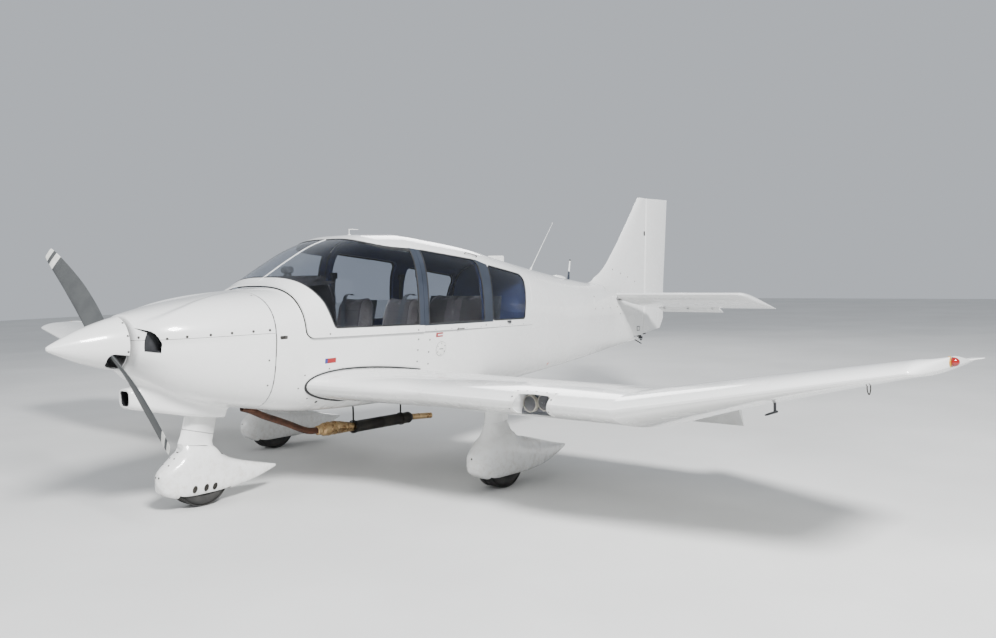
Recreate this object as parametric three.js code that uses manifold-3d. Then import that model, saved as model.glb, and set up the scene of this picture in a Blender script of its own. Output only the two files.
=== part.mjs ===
// A light aircraft: low cranked wing, cabin for four under a forward-sliding canopy,
// two-blade propeller and fixed three-wheel gear with wheel fairings.
//
// Millimetres, +Z up, ground at z = 0, nose towards -Y, the aircraft's left wing towards +X.
// Stations (y) are measured aft from the spinner's tip, and the finished group is moved forward
// by half the length, so that the origin is on the ground under the middle of the aircraft.

import * as THREE from 'three';
import { mergeVertices } from 'three/addons/utils/BufferGeometryUtils.js';
import Module from 'manifold-3d';

const wasm = await Module();
wasm.setup();

// Overall sizes
const LENGTH = 6960;
const HALF_SPAN = 4310;
const FIN_TOP = 2230;

// Fits and walls
const TOUCH = 0.3;            // gap between fixed pieces that meet
const CLEAR = 6;              // gap between pieces that move past each other
const WALL = 24;              // fuselage side and floor
const PANEL = 12;             // cowling and fairings
const GLASS = 5;

// Stations of the fuselage's joints
const COWL_FRONT = 445;
const FIREWALL = 1235;
const CANOPY_FRONT = 1445;
const CANOPY_REAR = 2500;
const CABIN_REAR = 3900;
const SPINNER_HEIGHT = 1098;
const CANOPY_STAND_OFF = 7;   // the sliding canopy's inside stands proud of the fuselage by this

// Landing gear
const HALF_TRACK = 1290;
const MAIN_AXLE = 2480;
const NOSE_AXLE = 950;
const TYRE_RADIUS = 190;
const TYRE_WIDTH = 140;
const RIM_RADIUS = 88;

// Wing
const CENTRE_CHORD = 1710;
const WING_FRONT = 1730;
const CRANK = 2700;
const FLAP_CHORD = 180;
const FLAP_DOWN = 60;         // degrees, as parked

const PAINT = { color: 0xf1f1ee, roughness: 0.25, metalness: 0 };
const GREY_PAINT = { color: 0x6f7376, roughness: 0.45, metalness: 0 };
const DARK = { color: 0x2a2c30, roughness: 0.7, metalness: 0 };
const TINTED_GLASS = { color: 0x31404f, roughness: 0.05, metalness: 0, transparent: true, opacity: 0.45 };
const RUBBER = { color: 0x1b1b1c, roughness: 0.9, metalness: 0 };
const STEEL = { color: 0x8d8f92, roughness: 0.4, metalness: 0.9 };
const HOT_METAL = { color: 0x6b5a4d, roughness: 0.55, metalness: 0.8 };
const SEAT_HIDE = { color: 0x6a5f5a, roughness: 0.7, metalness: 0 };

const aircraft = new THREE.Group();
const point = (x, y, z) => new THREE.Vector3(x, y, z);
const radians = THREE.MathUtils.degToRad;

// Solids

function solidFrom(positions, triangles) {
  let volume = 0;
  for (let i = 0; i < triangles.length; i += 3) {
    const [a, b, c] = [0, 1, 2].map((k) => positions[triangles[i + k]]);
    volume += a.dot(b.clone().cross(c));
  }
  const outward = volume > 0 ? triangles : triangles.toReversed();
  return new wasm.Manifold(new wasm.Mesh({
    numProp: 3,
    vertProperties: Float32Array.from(positions.flatMap((p) => [p.x, p.y, p.z])),
    triVerts: Uint32Array.from(outward),
  }));
}

function solidOf(geometry) {
  geometry.deleteAttribute('normal');
  geometry.deleteAttribute('uv');
  const merged = mergeVertices(geometry, 1e-3);
  const place = merged.attributes.position;
  const positions = Array.from({ length: place.count }, (_, i) => point().fromBufferAttribute(place, i));
  return solidFrom(positions, Array.from(merged.index.array));
}

// The flat end of a loft, wound like its ring, or against it at the loft's start
function endTriangles(ring, offset, isStart) {
  const normal = point();
  ring.forEach((p, i) => normal.add(p.clone().cross(ring[(i + 1) % ring.length])));
  const [nx, ny, nz] = normal.toArray().map(Math.abs);
  const flatten = nx >= ny && nx >= nz ? (p) => [p.y, p.z] : ny >= nz ? (p) => [p.x, p.z] : (p) => [p.x, p.y];
  const flat = ring.map((p) => new THREE.Vector2(...flatten(p)));
  const turn = Math.sign(THREE.ShapeUtils.area(flat));
  return THREE.ShapeUtils.triangulateShape(flat, []).flatMap(([a, b, c]) => {
    const alike = Math.sign(THREE.ShapeUtils.area([flat[a], flat[b], flat[c]])) === turn;
    return (alike !== isStart ? [a, b, c] : [a, c, b]).map((k) => k + offset);
  });
}

// A closed solid through rings that all have the same number of points
function loft(rings) {
  const count = rings[0].length;
  const triangles = [];
  for (let i = 0; i + 1 < rings.length; i += 1) {
    for (let j = 0; j < count; j += 1) {
      const a = i * count + j;
      const b = i * count + ((j + 1) % count);
      triangles.push(a, b, b + count, a, b + count, a + count);
    }
  }
  triangles.push(...endTriangles(rings[0], 0, true));
  triangles.push(...endTriangles(rings.at(-1), (rings.length - 1) * count, false));
  return solidFrom(rings.flat(), triangles);
}

const box = (x0, x1, y0, y1, z0, z1) => solidOf(
  new THREE.BoxGeometry(x1 - x0, y1 - y0, z1 - z0)
    .translate((x0 + x1) / 2, (y0 + y1) / 2, (z0 + z1) / 2),
);

// Straight bars whose outline is drawn in side view (y, z), from the front (x, z) or from above (x, y)
const sideBar = (outline, x0, x1) => loft([x0, x1].map((x) => outline.map(([y, z]) => point(x, y, z))));
const frontBar = (outline, y0, y1) => loft([y0, y1].map((y) => outline.map(([x, z]) => point(x, y, z))));
const planBar = (outline, z0, z1) => loft([z0, z1].map((z) => outline.map(([x, y]) => point(x, y, z))));

// A round rod of any two radii between two points
function rod(start, end, startRadius, endRadius = startRadius, sides = 20) {
  const axis = end.clone().sub(start);
  const turn = new THREE.Quaternion().setFromUnitVectors(point(0, 1, 0), axis.clone().normalize());
  const middle = start.clone().add(end).multiplyScalar(0.5);
  return solidOf(new THREE.CylinderGeometry(endRadius, startRadius, axis.length(), sides)
    .applyQuaternion(turn).translate(...middle.toArray()));
}

// A body turned about the x axis (wheels) from a profile of [radius, x] points that starts and ends on it
function turnedAboutX(profile, x, y, z, sides = 24) {
  const geometry = new THREE.LatheGeometry(profile.map(([r, along]) => new THREE.Vector2(r, along)), sides);
  return solidOf(geometry.rotateZ(-Math.PI / 2).translate(x, y, z));
}

const arc = (cx, cy, radius, from, to, steps) => Array.from({ length: steps + 1 }, (_, i) => {
  const angle = radians(from + ((to - from) * i) / steps);
  return [cx + radius * Math.cos(angle), cy + radius * Math.sin(angle)];
});

const join = (solids) => solids.reduce((a, b) => a.add(b));
const mirrored = (solid) => solid.mirror([1, 0, 0]);

function add(name, solid, finish) {
  const { vertProperties, triVerts } = solid.getMesh();
  const geometry = new THREE.BufferGeometry();
  geometry.setAttribute('position', new THREE.BufferAttribute(vertProperties, 3));
  geometry.setIndex(new THREE.BufferAttribute(triVerts, 1));
  geometry.computeVertexNormals();
  const mesh = new THREE.Mesh(geometry, new THREE.MeshStandardMaterial(finish));
  mesh.name = name;
  aircraft.add(mesh);
}

function addPair(name, leftSolid, finish) {
  add(`${name}_left`, leftSolid, finish);
  add(`${name}_right`, mirrored(leftSolid), finish);
}

// Fuselage sections: the widest point is at the sill, and the power says how square each half is
//  station, half width, bottom, sill, top, power below, power above, narrowing towards the bottom
const BODY = [
  [COWL_FRONT, 215, 915, 1098, 1272, 2.2, 2.2, 0.0],
  [540, 290, 835, 1098, 1292, 2.5, 2.4, 0.0],
  [720, 370, 735, 1095, 1325, 2.8, 2.5, 0.03],
  [960, 440, 660, 1085, 1360, 3.2, 2.6, 0.07],
  [FIREWALL, 500, 608, 1072, 1392, 3.6, 2.7, 0.1],
  [1420, 535, 570, 1066, 1408, 4.0, 2.8, 0.12],
  [1515, 544, 554, 1063, 1458, 4.0, 2.9, 0.13],
  [1710, 552, 534, 1058, 1568, 4.0, 3.1, 0.14],
  [1935, 557, 520, 1053, 1678, 4.0, 3.4, 0.14],
  [2070, 560, 515, 1050, 1722, 4.0, 3.6, 0.14],
  [2200, 561, 512, 1047, 1753, 4.0, 3.8, 0.14],
  [CANOPY_REAR, 560, 508, 1041, 1757, 4.0, 4.0, 0.14],
  [2850, 553, 507, 1034, 1725, 4.0, 3.9, 0.14],
  [3240, 533, 508, 1026, 1677, 3.9, 3.9, 0.14],
  [3600, 500, 512, 1018, 1612, 3.8, 3.7, 0.14],
  [CABIN_REAR, 460, 518, 1010, 1560, 3.6, 3.3, 0.14],
  [4450, 366, 544, 1000, 1471, 3.2, 2.6, 0.13],
  [4950, 282, 578, 995, 1398, 3.0, 2.2, 0.12],
  [5420, 196, 616, 995, 1350, 2.8, 2.1, 0.1],
  [5750, 134, 648, 1000, 1322, 2.6, 2.0, 0.08],
  [6260, 66, 698, 1010, 1290, 2.4, 2.0, 0.05],
];
const RING = 32;

function bodyRing([y, half, bottom, sill, top, lowPower, highPower, narrowing], skin) {
  return Array.from({ length: RING }, (_, k) => {
    const angle = (2 * Math.PI * (k + 0.5)) / RING;
    const above = Math.sin(angle) > 0;
    const power = above ? highPower : lowPower;
    const across = Math.sign(Math.cos(angle)) * Math.abs(Math.cos(angle)) ** (2 / power);
    const along = Math.abs(Math.sin(angle)) ** (2 / power);
    const rise = above ? top + skin - sill : bottom - skin - sill;
    return point(across * (half + skin) * (above ? 1 : 1 - narrowing * along), y, sill + rise * along);
  });
}

// The fuselage's full shape, grown by a skin that may change along it
function bodySolid(skin) {
  const skinAt = typeof skin === 'function' ? skin : () => skin;
  return loft(BODY.map((row) => bodyRing(row, skinAt(row[0]))));
}

const between = (y0, y1) => box(-900, 900, y0, y1, 0, 2400);
const sillHeight = (y) => 1075 - (y - 1500) * 0.027;

const outerBody = bodySolid(0);
const innerBody = bodySolid(-WALL);

// The sliding canopy's outline in side view, grown by `more` all round its fixed edges
function canopyOutline(more) {
  const front = CANOPY_FRONT - more;
  const sill = sillHeight(1550) - more;
  return [
    [front - 10, 2200], [front - 10, 1300],
    ...arc(front + 55, sill + 55, 55, 180, 270, 5),
    [CANOPY_REAR + more, sillHeight(CANOPY_REAR) - more], [CANOPY_REAR + more, 2200],
  ];
}

// The white roof panel's edge from above, as [distance from the middle, station] from its front back
const ROOF_PANEL = [
  [230, 2078], [300, 2085], [384, 2115], [442, 2172], [472, 2292], [488, 2453], [497, 2700],
];

// Glass in the canopy: everything above the curved lower edge, less the white roof panel
function canopyGlassRegion(less) {
  const side = sideBar([
    [1500 + less, 2200], [1512 + less, 1480], [1552 + less, 1392], [1600 + less, 1300],
    [1648 + less, 1170], [1672 + less, 1140 + less], [1710 + less, 1126 + less],
    [2450 - less, 1104 + less], [2450 - less, 2200],
  ], -900, 900);
  const near = ROOF_PANEL.map(([x, y]) => [x + less, y - less]);
  const far = near.map(([x, y]) => [-x, y]).reverse();
  return side.subtract(planBar([...far, ...near], 1200, 2200));
}

// Fixed side windows in side view, as [station, height] corners
const SIDE_WINDOWS = {
  mid: [[2551, 1100], [3216, 1085], [3200, 1572], [2552, 1652]],
  rear: [[3321, 1084], [3806, 1070], [3872, 1440], [3332, 1531]],
};

function windowBar(corners, less) {
  const [cy, cz] = [0, 1].map((k) => corners.reduce((sum, c) => sum + c[k], 0) / corners.length);
  const outline = corners.map(([y, z]) => [y - Math.sign(y - cy) * less, z - Math.sign(z - cz) * less]);
  return sideBar(outline, 0, 900);
}

function addFuselage() {
  const roofSkin = (y) => 16 * (1 - THREE.MathUtils.smoothstep(y, CANOPY_REAR, CABIN_REAR));
  const aboveSill = sideBar([
    [CANOPY_REAR - 200, sillHeight(CANOPY_REAR - 200)], [CABIN_REAR + 200, sillHeight(CABIN_REAR + 200)],
    [CABIN_REAR + 200, 2300], [CANOPY_REAR - 200, 2300],
  ], -900, 900);
  const canopyHole = sideBar(canopyOutline(CLEAR), -900, 900);
  const shell = outerBody.subtract(innerBody);

  const tub = shell.intersect(between(FIREWALL + 12, CABIN_REAR - TOUCH)).subtract(canopyHole)
    .subtract(aboveSill.intersect(between(CANOPY_REAR, CABIN_REAR + 100)));
  add('cabin_tub', tub, PAINT);

  const tailEnd = sideBar(
    [[5000, 0], [6290, 0], [6290, 640], [5610, 1260], [5420, 2300], [5000, 2300]],
    -900,
    900,
  );
  const tailInside = sideBar(
    [[3800, 0], [6210, 0], [6210, 640], [5560, 1235], [5380, 2300], [3800, 2300]],
    -900,
    900,
  );
  const tailOuter = outerBody.intersect(between(CABIN_REAR, 7000))
    .intersect(tailEnd.add(between(CABIN_REAR, 5100)));
  add('fuselage_tail', tailOuter.subtract(innerBody.intersect(tailInside)), PAINT);

  const roofShell = bodySolid(roofSkin).subtract(innerBody);
  const roof = roofShell.intersect(aboveSill).intersect(between(CANOPY_REAR + CLEAR, CABIN_REAR - TOUCH));
  let cutRoof = roof;
  const paneShell = bodySolid((y) => roofSkin(y) - 4).subtract(bodySolid((y) => roofSkin(y) - 4 - GLASS));
  Object.entries(SIDE_WINDOWS).forEach(([name, corners]) => {
    const hole = windowBar(corners, 0);
    cutRoof = cutRoof.subtract(hole).subtract(mirrored(hole));
    addPair(`${name}_window`, paneShell.intersect(windowBar(corners, 0.5)), TINTED_GLASS);
  });
  add('cabin_roof', cutRoof.translate(0, 0, TOUCH), PAINT);
}

function addCanopy() {
  const outline = sideBar(canopyOutline(0), -900, 900);
  const skin = CANOPY_STAND_OFF;
  const shell = bodySolid(skin + PANEL).subtract(bodySolid(skin)).intersect(outline);
  add('canopy_frame', shell.subtract(canopyGlassRegion(0)), PAINT);
  const pane = bodySolid(skin + 9).subtract(bodySolid(skin + 9 - GLASS)).intersect(outline);
  add('canopy_glass', pane.intersect(canopyGlassRegion(0.5)), TINTED_GLASS);
}

// Engine bay

function addNose() {
  const hollow = bodySolid(-PANEL);
  const scoopRows = [
    // station, half width, bottom, top
    [468, 72, 692, 822], [620, 105, 655, 850], [820, 140, 610, 860], [1020, 150, 575, 850],
    [FIREWALL - 20, 140, 552, 760],
  ];
  const scoop = (less) => loft(scoopRows.map(([y, half, low, high]) => [
    ...arc(half - 45, low + 45, 45 - less, 270, 360, 3), ...arc(half - 45, high - 45, 45 - less, 0, 90, 3),
    ...arc(45 - half, high - 45, 45 - less, 90, 180, 3), ...arc(45 - half, low + 45, 45 - less, 180, 270, 3),
  ].map(([x, z]) => point(x, y - (less ? 0.5 : 0), z))));
  const bay = between(COWL_FRONT + PANEL, FIREWALL + 50);
  const shaftHole = rod(point(0, 300, SPINNER_HEIGHT), point(0, 600, SPINNER_HEIGHT), 90);
  const inlets = join([-1, 1].map((side) => frontBar(
    [[side * 200, 1060], [side * 290, 1060], [side * 270, 1140], [side * 205, 1150]], 380, 800,
  )));
  const exit = box(-190, 190, 1080, FIREWALL + 50, 400, 700);
  const skin = outerBody.add(scoop(0));
  const cowl = skin.intersect(between(0, FIREWALL - TOUCH))
    .subtract(hollow.intersect(bay)).subtract(scoop(14)).subtract(shaftHole).subtract(inlets).subtract(exit);
  const split = SPINNER_HEIGHT + 24;
  add('upper_cowling', cowl.intersect(box(-900, 900, 0, 1500, split + TOUCH, 2000)), PAINT);
  add('lower_cowling', cowl.intersect(box(-900, 900, 0, 1500, 0, split)), PAINT);

  const firewall = bodySolid(-1).intersect(between(FIREWALL, FIREWALL + 11));
  add('firewall', firewall, STEEL);
  add('engine_block', box(-300, 300, 765, 1195, 852, 1190), STEEL);
  return skin;
}

function addPropeller() {
  const base = 425;
  const radius = 166;
  const cone = [
    [0, 0], [14, 5], [40, 56], [73, 128], [103, 202], [134, 296], [152, 362], [radius, base], [0, base],
  ];
  const turned = new THREE.LatheGeometry(cone.map(([r, y]) => new THREE.Vector2(r, y)), 32);
  const phase = radians(140);
  const disc = 350;
  // radius, chord, thickness, blade angle in degrees
  const bladeRows = [
    [60, 90, 46, 60], [170, 108, 30, 50], [300, 130, 21, 40], [450, 138, 15, 31],
    [620, 128, 11, 24], [780, 104, 8, 20], [860, 84, 6, 18], [890, 60, 5, 17],
  ];
  const blade = (angle) => loft(bladeRows.map(([r, chord, thickness, pitch]) => {
    const outward = point(Math.cos(angle), 0, Math.sin(angle));
    const onward = point(-Math.sin(angle), 0, Math.cos(angle));
    const lean = radians(pitch);
    const along = onward.multiplyScalar(Math.cos(lean)).add(point(0, -Math.sin(lean), 0));
    const flatwise = outward.clone().cross(along);
    const centre = outward.clone().multiplyScalar(r).add(point(0, disc, SPINNER_HEIGHT));
    const outline = [
      [-0.5, 0], [-0.25, 0.3], [0.1, 0.5], [0.38, 0.36], [0.5, 0], [0.38, -0.36], [0.1, -0.5], [-0.25, -0.3],
    ];
    return outline.map(([u, v]) => centre.clone()
      .addScaledVector(along, u * chord).addScaledVector(flatwise, v * thickness));
  }));
  const hub = rod(point(0, disc - 55, SPINNER_HEIGHT), point(0, COWL_FRONT + 60, SPINNER_HEIGHT), 72);
  const blades = join([blade(phase), blade(phase + Math.PI), hub]);
  const spinner = solidOf(turned).translate(0, 0, SPINNER_HEIGHT);
  const hollow = rod(point(0, disc - 75, SPINNER_HEIGHT), point(0, base + 5, SPINNER_HEIGHT), 118, 150);
  const slots = join([0, Math.PI].flatMap((half) => [disc - 2, base - 10].map((y) => {
    const outward = point(Math.cos(phase + half), 0, Math.sin(phase + half));
    const centre = point(0, y, SPINNER_HEIGHT);
    return rod(centre, centre.clone().addScaledVector(outward, 240), 56, 56, 16);
  })));
  add('spinner', spinner.subtract(hollow).subtract(slots), PAINT);
  add('propeller', blades, GREY_PAINT);
}

// Wing

// Thickness of a standard four-digit section, as a half height per unit chord
const halfThickness = (u, ratio) => 5 * ratio * (0.2969 * Math.sqrt(u) - 0.126 * u - 0.3516 * u ** 2
  + 0.2843 * u ** 3 - 0.1036 * u ** 4);
const SECTION_STEPS = [0, 0.012, 0.05, 0.12, 0.24, 0.4, 0.58, 0.76, 0.9, 1];

// Mean line of a section: it rises fast to its highest point at a fifth of the chord
const meanLine = (u, camber) => camber * (u < 0.2 ? 1 - ((0.2 - u) / 0.2) ** 2 : (1 - u) / 0.8);

// Section at x, from its nose (y, z), chord, thickness ratio, camber and nose-up angle in degrees
function wingSection({ x, y, z, chord, ratio, camber, up }) {
  const tilt = radians(up);
  const place = (u, side) => {
    const back = u * chord;
    const lift = (meanLine(u, camber) + side * Math.max(halfThickness(u, ratio), 0.0012)) * chord;
    const aft = back * Math.cos(tilt) + lift * Math.sin(tilt);
    return point(x, y + aft, z - back * Math.sin(tilt) + lift * Math.cos(tilt));
  };
  const lower = SECTION_STEPS.slice(1).reverse().map((u) => place(u, -1));
  return [...SECTION_STEPS.map((u) => place(u, 1)), ...lower];
}

const WING_STATIONS = {
  root: { x: 300, y: WING_FRONT - 330, z: 770, chord: CENTRE_CHORD + 330, ratio: 0.118, camber: 0, up: 5.6 },
  strake: { x: 1150, y: WING_FRONT, z: 733, chord: CENTRE_CHORD, ratio: 0.133, camber: 0, up: 5.5 },
  crank: { x: CRANK, y: WING_FRONT, z: 736, chord: CENTRE_CHORD, ratio: 0.128, camber: 0, up: 5.5 },
  shoulder: { x: 4270, y: WING_FRONT + 112, z: 1020, chord: 840, ratio: 0.09, camber: 0.018, up: 2 },
  tip: { x: HALF_SPAN, y: WING_FRONT + 230, z: 1022, chord: 690, ratio: 0.04, camber: 0.018, up: 1 },
};

const mix = (a, b, t) => a + (b - a) * t;
function stationAt(x) {
  const [inner, outer] = x < CRANK ? [WING_STATIONS.strake, WING_STATIONS.crank]
    : x < WING_STATIONS.shoulder.x ? [WING_STATIONS.crank, WING_STATIONS.shoulder]
      : [WING_STATIONS.shoulder, WING_STATIONS.tip];
  const t = (x - inner.x) / (outer.x - inner.x);
  return Object.fromEntries(Object.keys(inner).map((key) => [key, mix(inner[key], outer[key], t)]));
}

// Hinge line of a control that takes the last part of the chord between two stations: its ends, the
// directions aft and up that are square to it, and at each end the nose radius and length aft
function hingeLine(x0, x1, share) {
  const ends = [x0, x1].map((x) => {
    const s = stationAt(x);
    const u = 1 - share(s);
    const tilt = radians(s.up);
    const lift = meanLine(u, s.camber) * s.chord;
    return {
      place: point(x, s.y + u * s.chord * Math.cos(tilt), s.z - u * s.chord * Math.sin(tilt) + lift),
      radius: halfThickness(u, s.ratio) * s.chord,
      depth: share(s) * s.chord,
      tilt,
    };
  });
  const [inner, outer] = ends;
  const along = outer.place.clone().sub(inner.place).normalize();
  const aft = point(0, 1, 0).addScaledVector(along, -along.y).normalize();
  const up = along.clone().cross(aft);
  const sweep = (inner.place.y + inner.depth - outer.place.y - outer.depth) / (x1 - x0);
  const stretch = 1 / (aft.y + sweep * aft.x);
  return { ends, along, aft, up, stretch };
}

const atHinge = (line, end, a, b) => end.place.clone().addScaledVector(line.aft, a).addScaledVector(line.up, b);

// A control surface: round nose about the hinge, then straight to its edge
function controlSurface(x0, x1, share, down) {
  const line = hingeLine(x0, x1, share);
  return loft(line.ends.map((end) => {
    const drop = end.tilt + radians(down);
    const length = end.depth * line.stretch;
    const ring = [...arc(0, 0, end.radius, 84, 276, 10), [length, -2.5], [length, 2.5]];
    return ring.map(([a, b]) => atHinge(line, end,
      a * Math.cos(drop) + b * Math.sin(drop), b * Math.cos(drop) - a * Math.sin(drop)));
  }));
}

// The room that a control surface needs in the wing, longer than it by a gap at each end
function controlBay(x0, x1, share, innerGap, outerGap) {
  const line = hingeLine(x0, x1, share);
  return loft(line.ends.map((end, i) => {
    const shift = line.along.clone().multiplyScalar(i === 0 ? -innerGap : outerGap);
    const ring = [...arc(0, 0, end.radius + CLEAR, 90, 270, 10), [0, -300], [end.depth + 400, -300],
      [end.depth + 400, 300], [0, 300]];
    return ring.map(([a, b]) => atHinge(line, end, a, b).add(shift));
  }));
}

const flapShare = (s) => FLAP_CHORD / s.chord;
const aileronShare = () => 0.24;
const FLAP_SPAN = [620, 2692];
const AILERON_SPAN = [2800, 4080];
const WING_ROOT_GAP = 1;
const TIE_DOWN = [3880, 2230];

function addWing() {
  const pastEnd = 400;
  const flapBay = controlBay(...FLAP_SPAN, flapShare, pastEnd, pastEnd);
  const body = bodySolid(WING_ROOT_GAP);
  const inner = loft(['root', 'strake', 'crank'].map((name) => wingSection(WING_STATIONS[name])))
    .subtract(flapBay).subtract(body);
  addPair('inner_wing', inner, PAINT);

  const outer = loft([{ ...WING_STATIONS.crank, x: CRANK + TOUCH }, WING_STATIONS.shoulder, WING_STATIONS.tip]
    .map(wingSection));
  const aileronBay = controlBay(...AILERON_SPAN, aileronShare, CLEAR, CLEAR);
  const [tieX, tieY] = TIE_DOWN;
  const tieDown = box(tieX - 20, tieX + 20, tieY - 30, tieY + 30, 866, 900);
  addPair('outer_wing', outer.add(tieDown).subtract(aileronBay), PAINT);
  addPair('aileron', controlSurface(...AILERON_SPAN, aileronShare, 0), PAINT);
  addPair('flap', controlSurface(...FLAP_SPAN, flapShare, FLAP_DOWN), PAINT);
}

// Tail

const RUDDER_HINGE = { bottom: [6415, 740], top: [6530, FIN_TOP] };
const STABILATOR = { pivotY: 5900, pivotZ: 1160, front: -216, chord: 750, root: 150, tip: 1545, down: 13.3 };
const TAB = { chord: 115, from: 230, to: 928, inset: 18, down: 13 };
const TUBE_RADIUS = 26;

const hingeStation = (z) => mix(RUDDER_HINGE.bottom[0], RUDDER_HINGE.top[0],
  (z - RUDDER_HINGE.bottom[1]) / (RUDDER_HINGE.top[1] - RUDDER_HINGE.bottom[1]));

// Half thickness of the fin at the rudder's hinge
const postHalf = (z) => mix(46, 27, (z - 700) / (FIN_TOP - 700));

function addFin() {
  // height and the fin's front edge there
  const rows = [
    [745, 6190], [900, 5960], [1180, 5640], [1300, 5440], [1360, 5440], [1440, 5640], [1640, 5862],
    [FIN_TOP, 6385],
  ];
  const fin = loft(rows.map(([z, front]) => {
    const back = hingeStation(z) - postHalf(z) - CLEAR;
    const half = postHalf(z);
    const nose = Math.min(front, back - 60);
    const quarter = mix(nose, back, 0.3);
    return [[0, nose], [half * 0.55, mix(nose, quarter, 0.3)], [half, quarter], [half, back], [-half, back],
      [-half, quarter], [-half * 0.55, mix(nose, quarter, 0.3)]].map(([x, y]) => point(x, y, z));
  }));
  const { pivotY, pivotZ } = STABILATOR;
  const tube = rod(point(-400, pivotY, pivotZ), point(400, pivotY, pivotZ), TUBE_RADIUS + CLEAR);
  const tailCut = bodySolid(TOUCH).intersect(
    sideBar([[5000, 0], [6292, 0], [6292, 640 + TOUCH], [5611, 1262], [5421, 2300], [5000, 2300]], -900, 900),
  );
  add('fin', fin.subtract(tailCut).subtract(tube), PAINT);
}

function addRudder() {
  const rows = [[760, 6790], [1190, 6872], [FIN_TOP - 15, LENGTH]];
  const rudder = loft(rows.map(([z, edge]) => {
    const y = hingeStation(z);
    const half = postHalf(z);
    return [...arc(0, 0, half, 264, 96, 8).map(([a, b]) => [b, y + a]), [2.5, edge], [-2.5, edge]]
      .map(([x, station]) => point(x, station, z));
  }));
  add('rudder', rudder, PAINT);
}

function addTailplane() {
  const { pivotY, pivotZ, front, chord, root, tip, down } = STABILATOR;
  const section = (x, noseShift, scale) => {
    const us = [0, 0.012, 0.06, 0.18, 0.4, 0.7, 0.97];
    const half = (u) => Math.max(halfThickness(u, 0.1 * scale), 0.003) * chord;
    return [...us.map((u) => [u, half(u)]), ...us.slice(1).reverse().map((u) => [u, -half(u)])]
      .map(([u, z]) => point(x, front + noseShift + u * (chord - noseShift), z));
  };
  const half = loft([
    section(root, 0, 1), section(tip - 60, 0, 1), section(tip - 18, 26, 0.9), section(tip, 90, 0.6),
  ]);
  const hinge = front + chord - TAB.inset;
  const seat = loft([TAB.from - CLEAR, TAB.to + CLEAR].map((x) => [[-16, -60], [200, -60], [200, 60], [-16, 60]]
    .map(([a, b]) => point(x, hinge + a, b))));
  const tube = rod(point(-root - 60, 0, 0), point(root + 60, 0, 0), TUBE_RADIUS);
  const blade = half.subtract(seat);
  const turn = (solid) => solid.rotate([-down, 0, 0]).translate(0, pivotY, pivotZ);
  add('stabilator', turn(join([blade, mirrored(blade), tube])), PAINT);

  const tabOutline = [...arc(0, 0, 9, 80, 280, 6), [TAB.chord, -2], [TAB.chord, 2]];
  const tabBlade = loft([TAB.from, TAB.to].map((x) => tabOutline.map(([a, b]) => point(x, a, b))))
    .rotate([-TAB.down, 0, 0]).translate(0, hinge, 0);
  addPair('anti_tab', turn(tabBlade), PAINT);
}

// Landing gear

// Wheel fairings along their length: rounded nose, a top that rises to the leg, and a long tapering tail
//  distance behind the axle, bottom, top, half width
const SPATS = {
  nose: [
    [-302, 180, 208, 10], [-287, 134, 252, 48], [-245, 100, 290, 76], [-190, 80, 330, 94], [-139, 72, 378, 102],
    [-60, 68, 412, 105], [40, 68, 410, 105], [98, 70, 384, 103], [135, 72, 342, 100], [192, 76, 298, 92],
    [255, 82, 267, 82], [407, 104, 220, 56], [550, 138, 182, 24], [604, 152, 168, 6],
  ],
  main: [
    [-302, 190, 226, 12], [-287, 146, 260, 48], [-245, 112, 296, 80], [-195, 88, 334, 98], [-150, 77, 372, 104],
    [-70, 70, 408, 107], [60, 70, 406, 107], [110, 70, 366, 105], [150, 71, 340, 102], [272, 74, 308, 90],
    [440, 88, 262, 66], [620, 128, 212, 34], [748, 163, 183, 6],
  ],
};

function spat(rows, x, axleY) {
  const whole = loft(rows.map(([dy, low, high, half]) => arc(0, 0, 1, 0, 337.5, 15).map(([c, s]) => {
    const lift = (high - low) / 2;
    const squareness = s < 0 ? 0.5 : 0.8;
    const wide = Math.sign(c) * Math.abs(c) ** squareness * half;
    return point(x + wide, axleY + dy, (high + low) / 2 + Math.sign(s) * Math.abs(s) ** squareness * lift);
  })));
  const wellHalf = TYRE_WIDTH / 2 + CLEAR + 2;
  const wellRadius = TYRE_RADIUS + 14;
  const [near, far] = [x - wellHalf, x + wellHalf];
  const axle = [near, far].map((end) => point(end, axleY, TYRE_RADIUS));
  const round = rod(...axle, wellRadius, wellRadius, 24);
  const below = box(near, far, axleY - wellRadius, axleY + wellRadius, -50, TYRE_RADIUS);
  return whole.subtract(round.add(below));
}

function tyre(x, y) {
  const half = TYRE_WIDTH / 2;
  const profile = [
    [RIM_RADIUS, -half * 0.66], [TYRE_RADIUS - 50, -half], [TYRE_RADIUS - 16, -half * 0.86],
    [TYRE_RADIUS, -half * 0.45], [TYRE_RADIUS, half * 0.45], [TYRE_RADIUS - 16, half * 0.86],
    [TYRE_RADIUS - 50, half], [RIM_RADIUS, half * 0.66], [RIM_RADIUS, -half * 0.66],
  ];
  return turnedAboutX(profile, x, y, TYRE_RADIUS);
}

const AXLE_RADIUS = 18;

function wheel(x, y) {
  const half = TYRE_WIDTH * 0.3;
  const r = RIM_RADIUS - TOUCH;
  const profile = [
    [AXLE_RADIUS + 1, -half], [r, -half], [r, half], [AXLE_RADIUS + 1, half], [AXLE_RADIUS + 1, -half],
  ];
  return turnedAboutX(profile, x, y, TYRE_RADIUS);
}

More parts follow.
